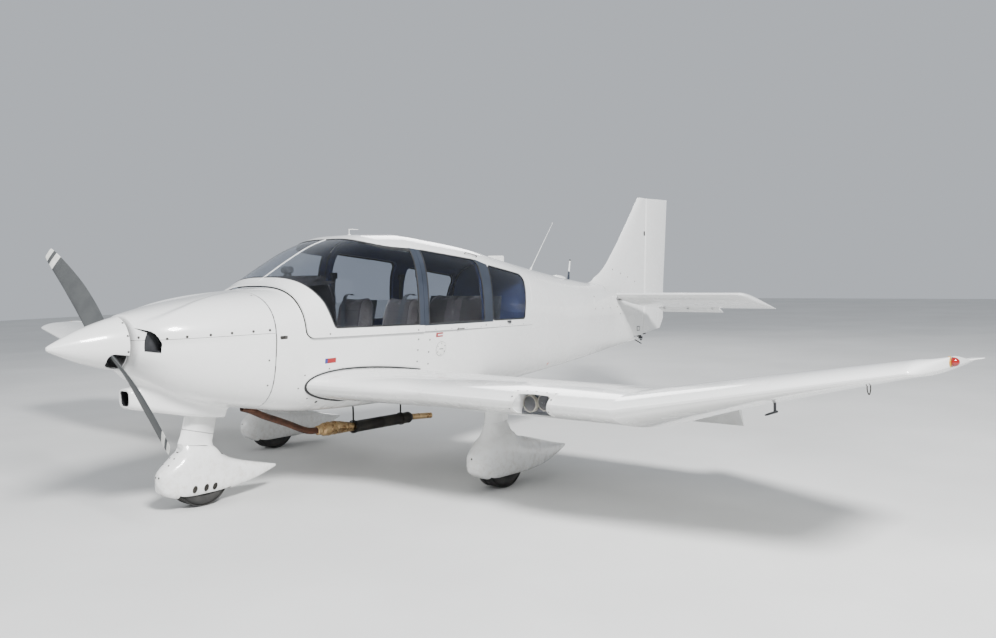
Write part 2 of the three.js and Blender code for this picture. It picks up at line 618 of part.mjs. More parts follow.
// The fork's two arms pass beside the tyre inside the fairing and hold the axle
function fork(x, axleY, topY, topZ) {
  const reach = TYRE_WIDTH / 2 + CLEAR;
  const arm = (side) => sideBar(
    [[axleY - 30, TYRE_RADIUS - 28], [axleY + 30, TYRE_RADIUS - 28], [topY + 45, topZ], [topY - 45, topZ]],
    x + side * reach, x + side * (reach + 4),
  );
  const bridge = box(x - reach - 4, x + reach + 4, topY - 45, topY + 45, topZ - 6, topZ + 10);
  return join([arm(1), arm(-1), bridge,
    rod(point(x - reach - 2, axleY, TYRE_RADIUS), point(x + reach + 2, axleY, TYRE_RADIUS), AXLE_RADIUS)]);
}

// A faired leg between two levels: streamlined sections, square to a leg that leans back by `lean`
function fairedLeg(x, rows, lean = 0) {
  const outline = [
    [-0.5, 0], [-0.42, 0.3], [-0.22, 0.5], [0.1, 0.42], [0.5, 0.06], [0.5, -0.06], [0.1, -0.42], [-0.22, -0.5],
    [-0.42, -0.3],
  ];
  return loft(rows.map(([z, centreY, chord, thickness]) => outline.map(([a, b]) => {
    const aft = a * chord;
    return point(x + b * thickness, centreY + aft * Math.cos(lean), z - aft * Math.sin(lean));
  })));
}

function addMainGear() {
  const x = HALF_TRACK;
  const forkTop = TYRE_RADIUS + TYRE_RADIUS + 12;
  const whole = spat(SPATS.main, x, MAIN_AXLE);
  const carrier = fork(x, MAIN_AXLE, MAIN_AXLE - 20, forkTop);
  const leg = fairedLeg(x, [
    [forkTop, MAIN_AXLE - 35, 262, 100], [500, MAIN_AXLE - 20, 225, 96], [760, MAIN_AXLE - 20, 225, 96],
  ]);
  const wing = loft(['strake', 'crank'].map((name) => wingSection(WING_STATIONS[name])));
  const legFree = leg.subtract(wing.translate(0, 0, -TOUCH))
    .intersect(box(x - 200, x + 200, 2200, 2800, 300, 640));
  const strut = join([carrier, legFree]);
  addPair('main_leg', strut, PAINT);
  addPair('main_wheel_fairing', whole.subtract(grown(strut)), PAINT);
  addPair('main_tyre', tyre(x, MAIN_AXLE), RUBBER);
  addPair('main_wheel', wheel(x, MAIN_AXLE), STEEL);
}

// A solid's outline swept a little each way, to leave a touching gap around it
function grown(solid) {
  const d = TOUCH + 0.2;
  const shifts = [[d, 0, 0], [-d, 0, 0], [0, d, 0], [0, -d, 0], [0, 0, d], [0, 0, -d]];
  return join([solid, ...shifts.map((s) => solid.translate(s))]);
}

// The steering axis leans back as it rises, and passes this far ahead of the axle
const STEER_LEAN = 15.5;
const STEER_POINT = [980, 570];    // a station and height on the axis
const steerStation = (z) => STEER_POINT[0] + (z - STEER_POINT[1]) * Math.tan(radians(STEER_LEAN));

function addNoseGear(noseSkin) {
  const lean = radians(STEER_LEAN);
  const forkTop = 2 * TYRE_RADIUS + 12;
  const seam = 480;
  const carrier = fork(0, NOSE_AXLE, steerStation(forkTop), forkTop);
  const alongLeg = (low, high) => [low, high].map((z) => [z, steerStation(z), 236, 96]);
  const lower = fairedLeg(0, alongLeg(forkTop - 20, seam), lean);
  const aboveTyre = box(-200, 200, 600, 1300, forkTop - 6, 700);
  const strut = join([carrier, lower.intersect(aboveTyre)]);
  add('nose_fork', strut, PAINT);
  add('nose_wheel_fairing', spat(SPATS.nose, 0, NOSE_AXLE).subtract(grown(strut)), PAINT);
  add('nose_tyre', tyre(0, NOSE_AXLE), RUBBER);
  add('nose_wheel', wheel(0, NOSE_AXLE), STEEL);
  const legFoot = seam + CLEAR / Math.cos(lean);
  const upper = fairedLeg(0, alongLeg(legFoot, 760), lean).subtract(noseSkin.translate(0, 0, -TOUCH));
  add('nose_leg', upper.intersect(box(-200, 200, 600, 1300, 400, 640)), PAINT);
}

// Under the belly

function addExhaust() {
  // height along the pipe and silencer: station, height, radius
  const pipe = [[1320, 578, 24], [1477, 512, 24], [1868, 350, 24], [1935, 345, 26]];
  const silencer = [
    [1935, 345, 34], [1975, 345, 34], [1985, 346, 46], [2110, 344, 50], [2190, 338, 54], [2290, 325, 34],
    [2300, 322, 44], [2860, 318, 44], [2900, 317, 26], [3120, 300, 24],
  ];
  const stretch = (rows) => rows.slice(1).map(([y, z, r], i) => {
    const [y0, z0, r0] = rows[i];
    return rod(point(0, y0, z0), point(0, y, z), r0, r, 16);
  });
  const hangers = [2285, 2780].map((y) => rod(point(0, y, 320), point(0, y, 505), 8, 8, 8));
  const whole = join([...stretch(pipe), ...stretch(silencer), ...hangers]);
  add('exhaust', whole.subtract(bodySolid(TOUCH)), HOT_METAL);
}

function addTowHook() {
  const plate = sideBar([[6296, 700], [6420, 700], [6420, 724], [6296, 724]], -24, 24);
  const ring = rod(point(-8, 6400, 700), point(8, 6400, 700), 28)
    .subtract(rod(point(-20, 6400, 694), point(20, 6400, 694), 12));
  add('tow_hook', plate.add(ring), DARK);
}

// Cabin

function addCabin() {
  const room = bodySolid(-WALL - TOUCH - 1);
  const hood = sideBar([
    [FIREWALL + 14, 1330], [FIREWALL + 14, 1372], [1400, 1374], [1500, 1404], [1600, 1434], [1745, 1442],
    [1765, 1434], [1745, 1424], [1600, 1410], [1500, 1376], [1400, 1342],
  ], -600, 600);
  const hump = sideBar([
    [1480, 1384], [1530, 1430], [1600, 1468], [1690, 1481], [1740, 1479], [1758, 1466], [1752, 1430], [1600, 1420],
    [1500, 1390],
  ], -385, 385);
  add('instrument_hood', room.intersect(hood.add(hump)), DARK);
  const panel = sideBar([[1690, 1000], [1706, 1000], [1722, 1421], [1706, 1419.5]], -600, 600);
  add('instrument_panel', room.intersect(panel), DARK);

  const seatSide = [
    [2080, 560], [2520, 560], [2560, 700], [2620, 1000], [2660, 1296], [2600, 1318], [2545, 1296], [2470, 900],
    [2440, 860], [2040, 880], [2030, 800],
  ];
  addPair('front_seat', room.intersect(sideBar(seatSide, 45, 495)), SEAT_HIDE);
  const benchSide = [
    [3020, 560], [3420, 560], [3520, 900], [3590, 1290], [3540, 1310], [3480, 1290], [3370, 930],
    [3330, 870], [2990, 890], [2980, 800],
  ];
  add('rear_seat', room.intersect(sideBar(benchSide, -430, 430)), SEAT_HIDE);
  const stick = (x) => join([
    rod(point(x, 1960, 610), point(x, 1860, 900), 11, 11, 10),
    rod(point(x, 1862, 894), point(x, 1820, 1030), 17, 15, 10),
  ]);
  const torqueTube = rod(point(-270, 1960, 616), point(270, 1960, 616), 14, 14, 10);
  add('control_sticks', join([stick(-270), stick(270), torqueTube]), DARK);
  add('rear_bulkhead', room.intersect(between(CABIN_REAR - 20, CABIN_REAR - 8)), DARK);
}

addFuselage();
addCanopy();
const noseSkin = addNose();
addPropeller();
addWing();
addFin();
addRudder();
addTailplane();
addMainGear();
addNoseGear(noseSkin);
addExhaust();
addTowHook();
addCabin();

aircraft.position.y = -LENGTH / 2;

export default aircraft;
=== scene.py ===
import math
import random

import bpy
import numpy as np
from mathutils import Matrix, Vector
from mathutils.bvhtree import BVHTree
from mathutils.kdtree import KDTree


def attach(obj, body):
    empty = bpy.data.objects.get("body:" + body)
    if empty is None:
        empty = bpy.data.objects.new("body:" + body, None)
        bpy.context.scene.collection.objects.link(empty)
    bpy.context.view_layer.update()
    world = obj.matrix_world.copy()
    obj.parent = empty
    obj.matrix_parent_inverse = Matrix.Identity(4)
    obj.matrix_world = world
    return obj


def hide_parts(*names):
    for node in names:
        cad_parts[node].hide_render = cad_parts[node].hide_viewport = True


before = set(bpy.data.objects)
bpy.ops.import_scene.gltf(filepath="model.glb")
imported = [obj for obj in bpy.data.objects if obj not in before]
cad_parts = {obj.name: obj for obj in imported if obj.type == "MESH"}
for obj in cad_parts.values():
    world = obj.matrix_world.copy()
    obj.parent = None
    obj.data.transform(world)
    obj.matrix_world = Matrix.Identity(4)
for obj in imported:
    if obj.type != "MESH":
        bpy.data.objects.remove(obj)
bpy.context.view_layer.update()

# A light aircraft. Shapes are given as in the part's source: millimetres, with y a station
# measured aft from the spinner's tip. Meshes are in metres, in the row frame.
LENGTH = 6960
HALF_SPAN = 4310
FIN_TOP = 2230
COWL_FRONT = 445
FIREWALL = 1235
CANOPY_FRONT = 1445
CANOPY_REAR = 2500
CABIN_REAR = 3900
SPINNER_HEIGHT = 1098
HALF_TRACK = 1290
MAIN_AXLE = 2480
NOSE_AXLE = 950
TYRE_RADIUS = 190
TYRE_WIDTH = 140
RIM_RADIUS = 88
CENTRE_CHORD = 1710
WING_FRONT = 1730
CRANK = 2700
FAR = 900
draw = random.Random(7)
SIDES = ((1, "left"), (-1, "right"))


def metres(points):
    moved = np.array(points, float) / 1000
    moved[..., 1] -= LENGTH / 2000
    return moved


def mix(a, b, t):
    return a + (b - a) * t


def smoothstep(value, low, high):
    t = np.clip((value - low) / (high - low), 0, 1)
    return t * t * (3 - 2 * t)


# Mesh tools

def object_from(points, faces, in_metres=False, name="solid"):
    mesh = bpy.data.meshes.new(name)
    places = np.array(points, float) if in_metres else metres(points)
    mesh.from_pydata(places.tolist(), [], [tuple(map(int, face)) for face in faces])
    mesh.update()
    obj = bpy.data.objects.new(name, mesh)
    bpy.context.collection.objects.link(obj)
    return obj


def triples(items, key):
    """One vector of each vertex or face, as rows."""
    values = np.empty(len(items) * 3)
    items.foreach_get(key, values)
    return values.reshape(-1, 3)


def mesh_arrays(obj):
    return triples(obj.data.vertices, "co")


def in_millimetres(obj):
    """An object's points in millimetres, with y a station."""
    points = mesh_arrays(obj) * 1000
    points[:, 1] += LENGTH / 2
    return points


def put_points(obj, points):
    obj.data.vertices.foreach_set("co", np.asarray(points, float).ravel())
    obj.data.update()


def outward(points, faces):
    """The faces of a closed mesh, turned so that they look out."""
    centred = points - points.mean(0)
    volume = 0.0
    for face in faces:
        corners = centred[list(face)]
        fan = np.cross(corners[1:-1], corners[2:])
        volume += float((fan @ corners[0]).sum())
    return faces if volume >= 0 else [face[::-1] for face in faces]


def loft(rings):
    """A solid through rings of points, closed at both ends."""
    rings = np.array(rings, float)
    rows, count = rings.shape[:2]
    i, j = np.meshgrid(np.arange(rows - 1), np.arange(count), indexing="ij")
    a = i * count + j
    b = i * count + (j + 1) % count
    faces = np.stack([a, b, b + count, a + count], -1).reshape(-1, 4).tolist()
    faces.append(list(range(count))[::-1])
    faces.append(list(range((rows - 1) * count, rows * count)))
    points = rings.reshape(-1, 3)
    return object_from(points, outward(points, faces))


def apply_modifiers(obj):
    graph = bpy.context.evaluated_depsgraph_get()
    mesh = bpy.data.meshes.new_from_object(obj.evaluated_get(graph))
    old = obj.data
    obj.modifiers.clear()
    obj.data = mesh
    bpy.data.meshes.remove(old)
    return obj


def remove(*objects):
    for obj in objects:
        mesh = obj.data
        bpy.data.objects.remove(obj)
        if mesh is not None and mesh.users == 0:
            bpy.data.meshes.remove(mesh)


def combine(obj, other, operation, keep=False):
    modifier = obj.modifiers.new("combine", "BOOLEAN")
    modifier.object = other
    modifier.operation = operation
    modifier.solver = "MANIFOLD"
    apply_modifiers(obj)
    if len(obj.data.polygons) == 0:
        raise RuntimeError(f"nothing left of {obj.name} after {operation}")
    if not keep:
        remove(other)
    return obj


def minus(obj, *others, keep=False):
    for other in others:
        combine(obj, other, "DIFFERENCE", keep)
    return obj


def common(obj, *others, keep=False):
    for other in others:
        combine(obj, other, "INTERSECT", keep)
    return obj


def union(obj, *others):
    for other in others:
        combine(obj, other, "UNION")
    return obj


def copy_of(obj):
    twin = obj.copy()
    twin.data = obj.data.copy()
    bpy.context.collection.objects.link(twin)
    return twin


def flipped(obj):
    """The object itself, moved to the other side of the aircraft."""
    points = mesh_arrays(obj)
    points[:, 0] *= -1
    put_points(obj, points)
    obj.data.flip_normals()
    return obj


def mirrored(obj):
    return flipped(copy_of(obj))


def merged(objects):
    points, faces, offset = [], [], 0
    for obj in objects:
        own = mesh_arrays(obj)
        points.append(own)
        faces += [[v + offset for v in polygon.vertices] for polygon in obj.data.polygons]
        offset += len(own)
    joined = object_from(np.concatenate(points), faces, in_metres=True)
    remove(*objects)
    return joined


def face_of_loops(mesh):
    totals = np.empty(len(mesh.polygons), np.int32)
    mesh.polygons.foreach_get("loop_total", totals)
    return np.repeat(np.arange(len(totals)), totals)


def edge_pairs(mesh):
    """Edges between two faces, with the two faces of each."""
    edges = np.empty(len(mesh.loops), np.int32)
    mesh.loops.foreach_get("edge_index", edges)
    owner = face_of_loops(mesh)
    order = np.argsort(edges, kind="stable")
    ranked = edges[order]
    at = np.nonzero(ranked[1:] == ranked[:-1])[0]
    return ranked[at], owner[order[at]], owner[order[at + 1]]


def smooth(obj, degrees=30):
    mesh = obj.data
    mesh.polygons.foreach_set("use_smooth", np.ones(len(mesh.polygons), bool))
    edges, first, second = edge_pairs(mesh)
    normals = triples(mesh.polygons, "normal")
    cosine = (normals[first] * normals[second]).sum(1)
    sharp = np.zeros(len(mesh.edges), bool)
    sharp[edges] = cosine < math.cos(math.radians(degrees))
    layer = mesh.attributes.get("sharp_edge") or mesh.attributes.new("sharp_edge", "BOOLEAN", "EDGE")
    layer.data.foreach_set("value", sharp)
    mesh.update()
    return obj


def soften(obj, reach, rounds, where, least=18):
    """Rounds the inner creases of a joined skin: points near a crease move to their neighbours' mean."""
    mesh = obj.data
    points = mesh_arrays(obj)
    edges, first, second = edge_pairs(mesh)
    normals = triples(mesh.polygons, "normal")
    ends = np.empty(len(mesh.edges) * 2, np.int32)
    mesh.edges.foreach_get("vertices", ends)
    ends = ends.reshape(-1, 2)
    centres = triples(mesh.polygons, "center")
    bent = (normals[first] * normals[second]).sum(1) < math.cos(math.radians(least))
    inner = ((centres[second] - centres[first]) * normals[first]).sum(1) > 0
    middle = points[ends[edges]].mean(1)
    chosen = bent & inner & where(middle)
    crease = np.unique(ends[edges[chosen]])
    if len(crease) == 0:
        raise RuntimeError(f"no crease to soften on {obj.name}")
    tree = KDTree(len(crease))
    for k, v in enumerate(crease):
        tree.insert(points[v], k)
    tree.balance()
    low, high = points[crease].min(0) - reach, points[crease].max(0) + reach
    near = np.nonzero(((points > low) & (points < high)).all(1))[0]
    weight = np.zeros(len(points))
    for v in near:
        distance = tree.find(points[v])[2]
        weight[v] = 1 - smoothstep(distance, reach * 0.35, reach)
    busy = weight[ends].max(1) > 0
    pairs = ends[busy]
    degree = np.bincount(pairs.ravel(), minlength=len(points)).astype(float)
    degree[degree == 0] = 1
    for _ in range(rounds):
        total = np.zeros_like(points)
        np.add.at(total, pairs[:, 0], points[pairs[:, 1]])
        np.add.at(total, pairs[:, 1], points[pairs[:, 0]])
        points += (total / degree[:, None] - points) * (weight * 0.7)[:, None]
    put_points(obj, points)
    return obj


def box(x0, x1, y0, y1, z0, z1):
    rings = [[(x0, y, z0), (x1, y, z0), (x1, y, z1), (x0, y, z1)] for y in (y0, y1)]
    return loft(rings)


def side_bar(outline, x0=-FAR, x1=FAR):
    return loft([[(x, y, z) for y, z in outline] for x in (x0, x1)])


def front_bar(outline, y0, y1):
    return loft([[(x, y, z) for x, z in outline] for y in (y0, y1)])


def plan_bar(outline, z0, z1):
    return loft([[(x, y, z) for x, y in outline] for z in (z0, z1)])


def arc(cx, cy, radius, start, end, steps, radius_y=None):
    angles = np.radians(np.linspace(start, end, steps + 1))
    return [(cx + radius * math.cos(a), cy + (radius_y or radius) * math.sin(a)) for a in angles]


def rounded(corners, radius, steps=5):
    """An outline whose corners are replaced by arcs, with one radius or one for each corner."""
    result = []
    radii = np.broadcast_to(radius, len(corners))
    for k, corner in enumerate(corners):
        if radii[k] == 0:
            result.append(tuple(corner))
            continue
        at = Vector(corner)
        before = Vector(corners[k - 1]) - at
        after = Vector(corners[(k + 1) % len(corners)]) - at
        half = before.angle(after) / 2
        r = min(float(radii[k]), 0.45 * min(before.length, after.length) * math.tan(half))
        reach = r / math.tan(half)
        start = at + before.normalized() * reach
        finish = at + after.normalized() * reach
        centre = at + (before.normalized() + after.normalized()).normalized() * (r / math.sin(half))
        for s in range(steps + 1):
            chord = start.lerp(finish, s / steps) - centre
            result.append(tuple(centre + chord.normalized() * r))
    return result


def grown_outline(corners, more):
    """The same outline moved out by `more` along its own normals."""
    ring = np.array(corners, float)
    area = np.sum(ring[:, 0] * np.roll(ring[:, 1], -1) - np.roll(ring[:, 0], -1) * ring[:, 1])
    step = np.roll(ring, -1, 0) - np.roll(ring, 1, 0)
    normal = np.stack([step[:, 1], -step[:, 0]], 1) * np.sign(area)
    normal /= np.maximum(np.linalg.norm(normal, axis=1, keepdims=True), 1e-9)
    return (ring + normal * more).tolist()


def frames_along(path):
    path = np.array(path, float)
    tangents = np.gradient(path, axis=0)
    tangents /= np.linalg.norm(tangents, axis=1, keepdims=True)
    side = np.cross(tangents[0], (0, 0, 1.0))
    if np.linalg.norm(side) < 0.2:
        side = np.cross(tangents[0], (0, 1.0, 0))
    frames = []
    for tangent in tangents:
        side = side - tangent * side.dot(tangent)
        side /= np.linalg.norm(side)
        frames.append((side, np.cross(tangent, side)))
    return path, frames


def tube(path, radius, sides=20):
    """A round bar along a path of points, with one radius or one for each point."""
    path, frames = frames_along(path)
    radii = np.broadcast_to(radius, len(path))
    turn = np.linspace(0, 2 * math.pi, sides, endpoint=False)
    rings = [[centre + r * (math.cos(a) * u + math.sin(a) * v) for a in turn]
             for centre, r, (u, v) in zip(path, radii, frames)]
    return loft(rings)


def lathe(profile, centre, axis="x", sides=48):
    """A body turned about a line through centre, from (radius, along) points."""
    turn = np.linspace(0, 2 * math.pi, sides, endpoint=False)
    rings = []
    for r, along in profile:
        ring = []
        for a in turn:
            u, v = max(r, 0.01) * math.cos(a), max(r, 0.01) * math.sin(a)
            ring.append({"x": (along, u, v), "y": (u, along, v), "z": (u, v, along)}[axis])
        rings.append(ring)
    rings = np.array(rings) + np.array(centre, float)
    if profile[0] == profile[-1]:
        ring_count, count = len(rings) - 1, sides
        points = rings[:-1].reshape(-1, 3)
        faces = []
        for i in range(ring_count):
            for j in range(count):
                k, m = (i + 1) % ring_count, (j + 1) % count
                faces.append([i * count + j, i * count + m, k * count + m, k * count + j])
        return object_from(points, outward(points, faces))
    return loft(rings)


def smooth_path(points, count, closed=False):
    """A curve through points, sampled evenly by each stretch between them."""
    given = [Vector(p) for p in points]
    n = len(given)
    result = []
    stretches = n if closed else n - 1
    for s in range(stretches):
        def pick(k):
            return given[k % n] if closed else given[min(max(k, 0), n - 1)]
        p0, p1, p2, p3 = (pick(s + k) for k in (-1, 0, 1, 2))
        for i in range(count):
            t = i / count
            result.append(0.5 * ((2 * p1) + (p2 - p0) * t + (2 * p0 - 5 * p1 + 4 * p2 - p3) * t * t
                                 + (3 * p1 - p0 - 3 * p2 + p3) * t ** 3))
    if not closed:
        result.append(given[-1])
    return [tuple(p) for p in result]


# Fuselage surface
# station, half width, bottom, sill, top, power below, power above, narrowing towards the bottom
BODY = np.array([
    [COWL_FRONT, 215, 915, 1098, 1272, 2.2, 2.2, 0.0],
    [540, 290, 835, 1098, 1292, 2.5, 2.4, 0.0],
    [720, 370, 735, 1095, 1325, 2.8, 2.5, 0.03],
    [960, 440, 660, 1085, 1360, 3.2, 2.6, 0.07],
    [FIREWALL, 500, 608, 1072, 1392, 3.6, 2.7, 0.1],
    [1420, 535, 570, 1066, 1408, 4.0, 2.8, 0.12],
    [1515, 544, 554, 1063, 1458, 4.0, 2.9, 0.13],
    [1710, 552, 534, 1058, 1568, 4.0, 3.1, 0.14],
    [1935, 557, 520, 1053, 1678, 4.0, 3.4, 0.14],
    [2070, 560, 515, 1050, 1722, 4.0, 3.6, 0.14],
    [2200, 561, 512, 1047, 1753, 4.0, 3.8, 0.14],
    [CANOPY_REAR, 560, 508, 1041, 1757, 4.0, 4.0, 0.14],
    [2850, 553, 507, 1034, 1725, 4.0, 3.9, 0.14],
    [3240, 533, 508, 1026, 1677, 3.9, 3.9, 0.14],
    [3600, 500, 512, 1018, 1612, 3.8, 3.7, 0.14],
    [CABIN_REAR, 460, 518, 1010, 1560, 3.6, 3.3, 0.14],
    [4450, 366, 544, 1000, 1471, 3.2, 2.6, 0.13],
    [4950, 282, 578, 995, 1391, 3.0, 2.2, 0.12],
    [5420, 196, 616, 995, 1327, 2.8, 2.1, 0.1],
    [5750, 134, 648, 1000, 1303, 2.6, 2.0, 0.08],
    [6260, 66, 698, 1010, 1280, 2.4, 2.0, 0.05],
    [6320, 58, 705, 1011, 1277, 2.4, 2.0, 0.05],
])


def monotone(table):
    """Smooth interpolation that keeps between the rows it passes through."""
    x, y = table[:, 0], table[:, 1:]
    h = np.diff(x)[:, None]
    delta = np.diff(y, axis=0) / h
    slope = np.zeros_like(y)
    slope[0], slope[-1] = delta[0], delta[-1]
    w1, w2 = 2 * h[1:] + h[:-1], h[1:] + 2 * h[:-1]
    same = delta[:-1] * delta[1:] > 0
    safe = np.where(same, w1 / np.where(same, delta[:-1], 1) + w2 / np.where(same, delta[1:], 1), 1)
    slope[1:-1] = np.where(same, (w1 + w2) / safe, 0)

    def at(value):
        k = int(np.clip(np.searchsorted(x, value) - 1, 0, len(x) - 2))
        width = x[k + 1] - x[k]
        t = (value - x[k]) / width
        if t < 0 or t > 1:
            end = 0 if t < 0 else -1
            return y[end] + slope[end] * (value - x[end])
        return ((2 * t ** 3 - 3 * t ** 2 + 1) * y[k] + (t ** 3 - 2 * t ** 2 + t) * width * slope[k]
                + (3 * t ** 2 - 2 * t ** 3) * y[k + 1] + (t ** 3 - t ** 2) * width * slope[k + 1])
    return at


body_at = monotone(BODY)


def quarter(power, width, height, narrowing, steps):
    """Evenly spaced points of a quarter section, from its widest point to its middle line."""
    s = np.linspace(0, 1, 160)
    angle = math.pi / 2 * (0.5 - 0.5 * np.cos(math.pi * s))

    def at(a):
        along = np.abs(np.sin(a)) ** (2 / power)
        return np.abs(np.cos(a)) ** (2 / power) * width * (1 - narrowing * along), along * height
    across, rise = at(angle)
    length = np.concatenate([[0], np.cumsum(np.hypot(np.diff(across), np.diff(rise)))])
    even = np.interp(np.linspace(0, length[-1], steps + 1), length, angle)
    across, rise = at(even)
    across[-1] = 0
    return across, rise


def body_ring(y, skin, steps=(38, 40)):
    half, bottom, sill, top, low_power, high_power, narrowing = body_at(y)
    up_x, up_z = quarter(high_power, half + skin, top + skin - sill, 0, steps[0])
    low_x, low_z = quarter(low_power, half + skin, bottom - skin - sill, narrowing, steps[1])
    right = list(zip(up_x, sill + up_z))
    left_top = [(-x, z) for x, z in right[-2:0:-1]]
    low_right = list(zip(low_x, sill + low_z))
    left_low = [(-x, z) for x, z in low_right[:-1]]
    ring = right + left_top + left_low + low_right[:0:-1]
    return [(x, y, z) for x, z in ring]


def body_solid(skin, y0, y1, step=24, steps=(38, 40)):
    skin_at = skin if callable(skin) else (lambda y: skin)
    count = max(2, int(round((y1 - y0) / step)) + 1)
    return loft([body_ring(y, skin_at(y), steps) for y in np.linspace(y0, y1, count)])


def body_shell(outer, inner, y0, y1, step=24, steps=(38, 40)):
    return minus(body_solid(outer, y0, y1, step, steps), body_solid(inner, y0 - 30, y1 + 30, step, steps))


def sill_height(y):
    return 1075 - (y - 1500) * 0.027


def roof_skin(y):
    return 16 * (1 - float(smoothstep(y, CANOPY_REAR, CABIN_REAR)))


# Materials

def new_material(name):
    material = bpy.data.materials.new(name)
    material.use_nodes = True
    nodes = material.node_tree.nodes
    shader = nodes["Principled BSDF"]
    return material, nodes, material.node_tree.links, shader


def put(node, **values):
    """Sets a node's inputs by name, with _ for a space."""
    for key, value in values.items():
        node.inputs[key.replace("_", " ")].default_value = value


def noise(nodes, links, scale, detail=3.0, roughness=0.5):
    place = nodes.new("ShaderNodeTexCoord")
    texture = nodes.new("ShaderNodeTexNoise")
    put(texture, Scale=scale, Detail=detail, Roughness=roughness)
    links.new(place.outputs["Object"], texture.inputs["Vector"])
    return texture.outputs["Fac"]


def ramp(nodes, links, source, stops):
    node = nodes.new("ShaderNodeValToRGB")
    elements = node.color_ramp.elements
    while len(elements) < len(stops):
        elements.new(0.5)
    for element, (position, colour) in zip(elements, stops):
        element.position = position
        element.color = (*colour, 1)
    links.new(source, node.inputs["Fac"])
    return node.outputs["Color"]


def spread(nodes, links, source, low, high, start=0.3, end=0.7):
    node = nodes.new("ShaderNodeMapRange")
    put(node, From_Min=start, From_Max=end, To_Min=low, To_Max=high)
    links.new(source, node.inputs["Value"])
    return node.outputs["Result"]


def calculated(nodes, links, operation, first, second):
    """A Math node of two values, each a number or another node's output."""
    node = nodes.new("ShaderNodeMath")
    node.operation = operation
    for socket, value in zip(node.inputs, (first, second)):
        if isinstance(value, float):
            socket.default_value = value
        else:
            links.new(value, socket)
    return node.outputs[0]


def add_bump(nodes, links, shader, source, strength, distance=0.001):
    node = nodes.new("ShaderNodeBump")
    put(node, Strength=strength, Distance=distance)
    links.new(source, node.inputs["Height"])
    links.new(node.outputs["Normal"], shader.inputs["Normal"])


def surface(name, dark, light, scale=3.0, rough=(0.3, 0.4), metal=0.0, coat=0.0, bump=None, sheen=0.0,
            detail=4.0, specular=0.5):
    """A surface whose colour and roughness vary between two values, with a finer bump."""
    material, nodes, links, shader = new_material(name)
    pattern = noise(nodes, links, scale, detail, 0.55)
    links.new(ramp(nodes, links, pattern, [(0.35, dark), (0.65, light)]), shader.inputs["Base Color"])
    links.new(spread(nodes, links, pattern, *rough), shader.inputs["Roughness"])
    put(shader, Metallic=metal, Coat_Weight=coat, Coat_Roughness=0.05, Sheen_Weight=sheen,
        Specular_IOR_Level=specular)
    if bump:
        fine_scale, strength, distance = bump
        add_bump(nodes, links, shader, noise(nodes, links, fine_scale, 2.0), strength, distance)
    return material


def white_paint(name, extra_darkening=0.0, darkening_top=0.75):
    """Gloss white with faint unevenness, and a speckled brownish darkening that grows towards the bottom."""
    material, nodes, links, shader = new_material(name)
    cloud = noise(nodes, links, 1.7, 5.0)
    base = ramp(nodes, links, cloud, [(0.3, (0.79, 0.79, 0.775)), (0.7, (0.84, 0.84, 0.83))])
    height = nodes.new("ShaderNodeSeparateXYZ")
    place = nodes.new("ShaderNodeTexCoord")
    links.new(place.outputs["Object"], height.inputs["Vector"])
    # The brownish specks fade out above the given height, so the paint is darker towards the bottom.
    low_share = spread(nodes, links, height.outputs["Z"], 1.0, 0.0, 0.05, darkening_top)
    specks = spread(nodes, links, noise(nodes, links, 22.0, 7.0, 0.7), 0.0, 1.0, 0.46, 0.72)
    amount = calculated(nodes, links, "MULTIPLY", low_share, specks)
    blend = nodes.new("ShaderNodeMix")
    blend.data_type = "RGBA"
    put(blend, B=(0.42, 0.36, 0.28, 1))
    links.new(calculated(nodes, links, "MULTIPLY", amount, 0.35 + extra_darkening), blend.inputs["Factor"])
    links.new(base, blend.inputs["A"])
    links.new(blend.outputs["Result"], shader.inputs["Base Color"])
    links.new(spread(nodes, links, noise(nodes, links, 6.0, 4.0), 0.2, 0.32), shader.inputs["Roughness"])
    put(shader, Coat_Weight=0.9, Coat_Roughness=0.06)
    add_bump(nodes, links, shader, noise(nodes, links, 9.0, 2.0), 0.05, 0.002)
    return material


def tinted_glass(name, tint, shade, index, specular):
    """Clear tinted glass whose shadow is as pale as the glass, so that the cabin is lit."""
    material, nodes, links, shader = new_material(name)
    streaks = noise(nodes, links, 2.5, 4.0)
    colour = ramp(nodes, links, streaks, [(0.3, tint), (0.7, tuple(c * 1.05 for c in tint))])
    links.new(colour, shader.inputs["Base Color"])
    put(shader, Transmission_Weight=1.0, IOR=index, Specular_IOR_Level=specular, Roughness=0.0)
    clear = nodes.new("ShaderNodeBsdfTransparent")
    put(clear, Color=(*shade, 1))
    path = nodes.new("ShaderNodeLightPath")
    choose = nodes.new("ShaderNodeMixShader")
    links.new(path.outputs["Is Shadow Ray"], choose.inputs["Fac"])
    links.new(shader.outputs["BSDF"], choose.inputs[1])
    links.new(clear.outputs["BSDF"], choose.inputs[2])
    links.new(choose.outputs["Shader"], nodes["Material Output"].inputs["Surface"])
    return material


def woven(name, dark, light, pitch=0.0016, rough=(0.8, 0.95)):
    """Cloth with a fine two-way weave and a soft sheen."""
    material, nodes, links, shader = new_material(name)
    cloud = noise(nodes, links, 7.0, 5.0)
    links.new(ramp(nodes, links, cloud, [(0.3, dark), (0.7, light)]), shader.inputs["Base Color"])
    links.new(spread(nodes, links, cloud, *rough), shader.inputs["Roughness"])
    put(shader, Sheen_Weight=0.35, Sheen_Roughness=0.5)
    place = nodes.new("ShaderNodeTexCoord")
    threads = []
    for direction in ("X", "Z"):
        wave = nodes.new("ShaderNodeTexWave")
        wave.bands_direction = direction
        put(wave, Scale=0.31 / pitch, Distortion=0.6)
        links.new(place.outputs["Object"], wave.inputs["Vector"])
        threads.append(wave.outputs["Fac"])
    add_bump(nodes, links, shader, calculated(nodes, links, "ADD", *threads), 0.4, 0.0006)
    return material


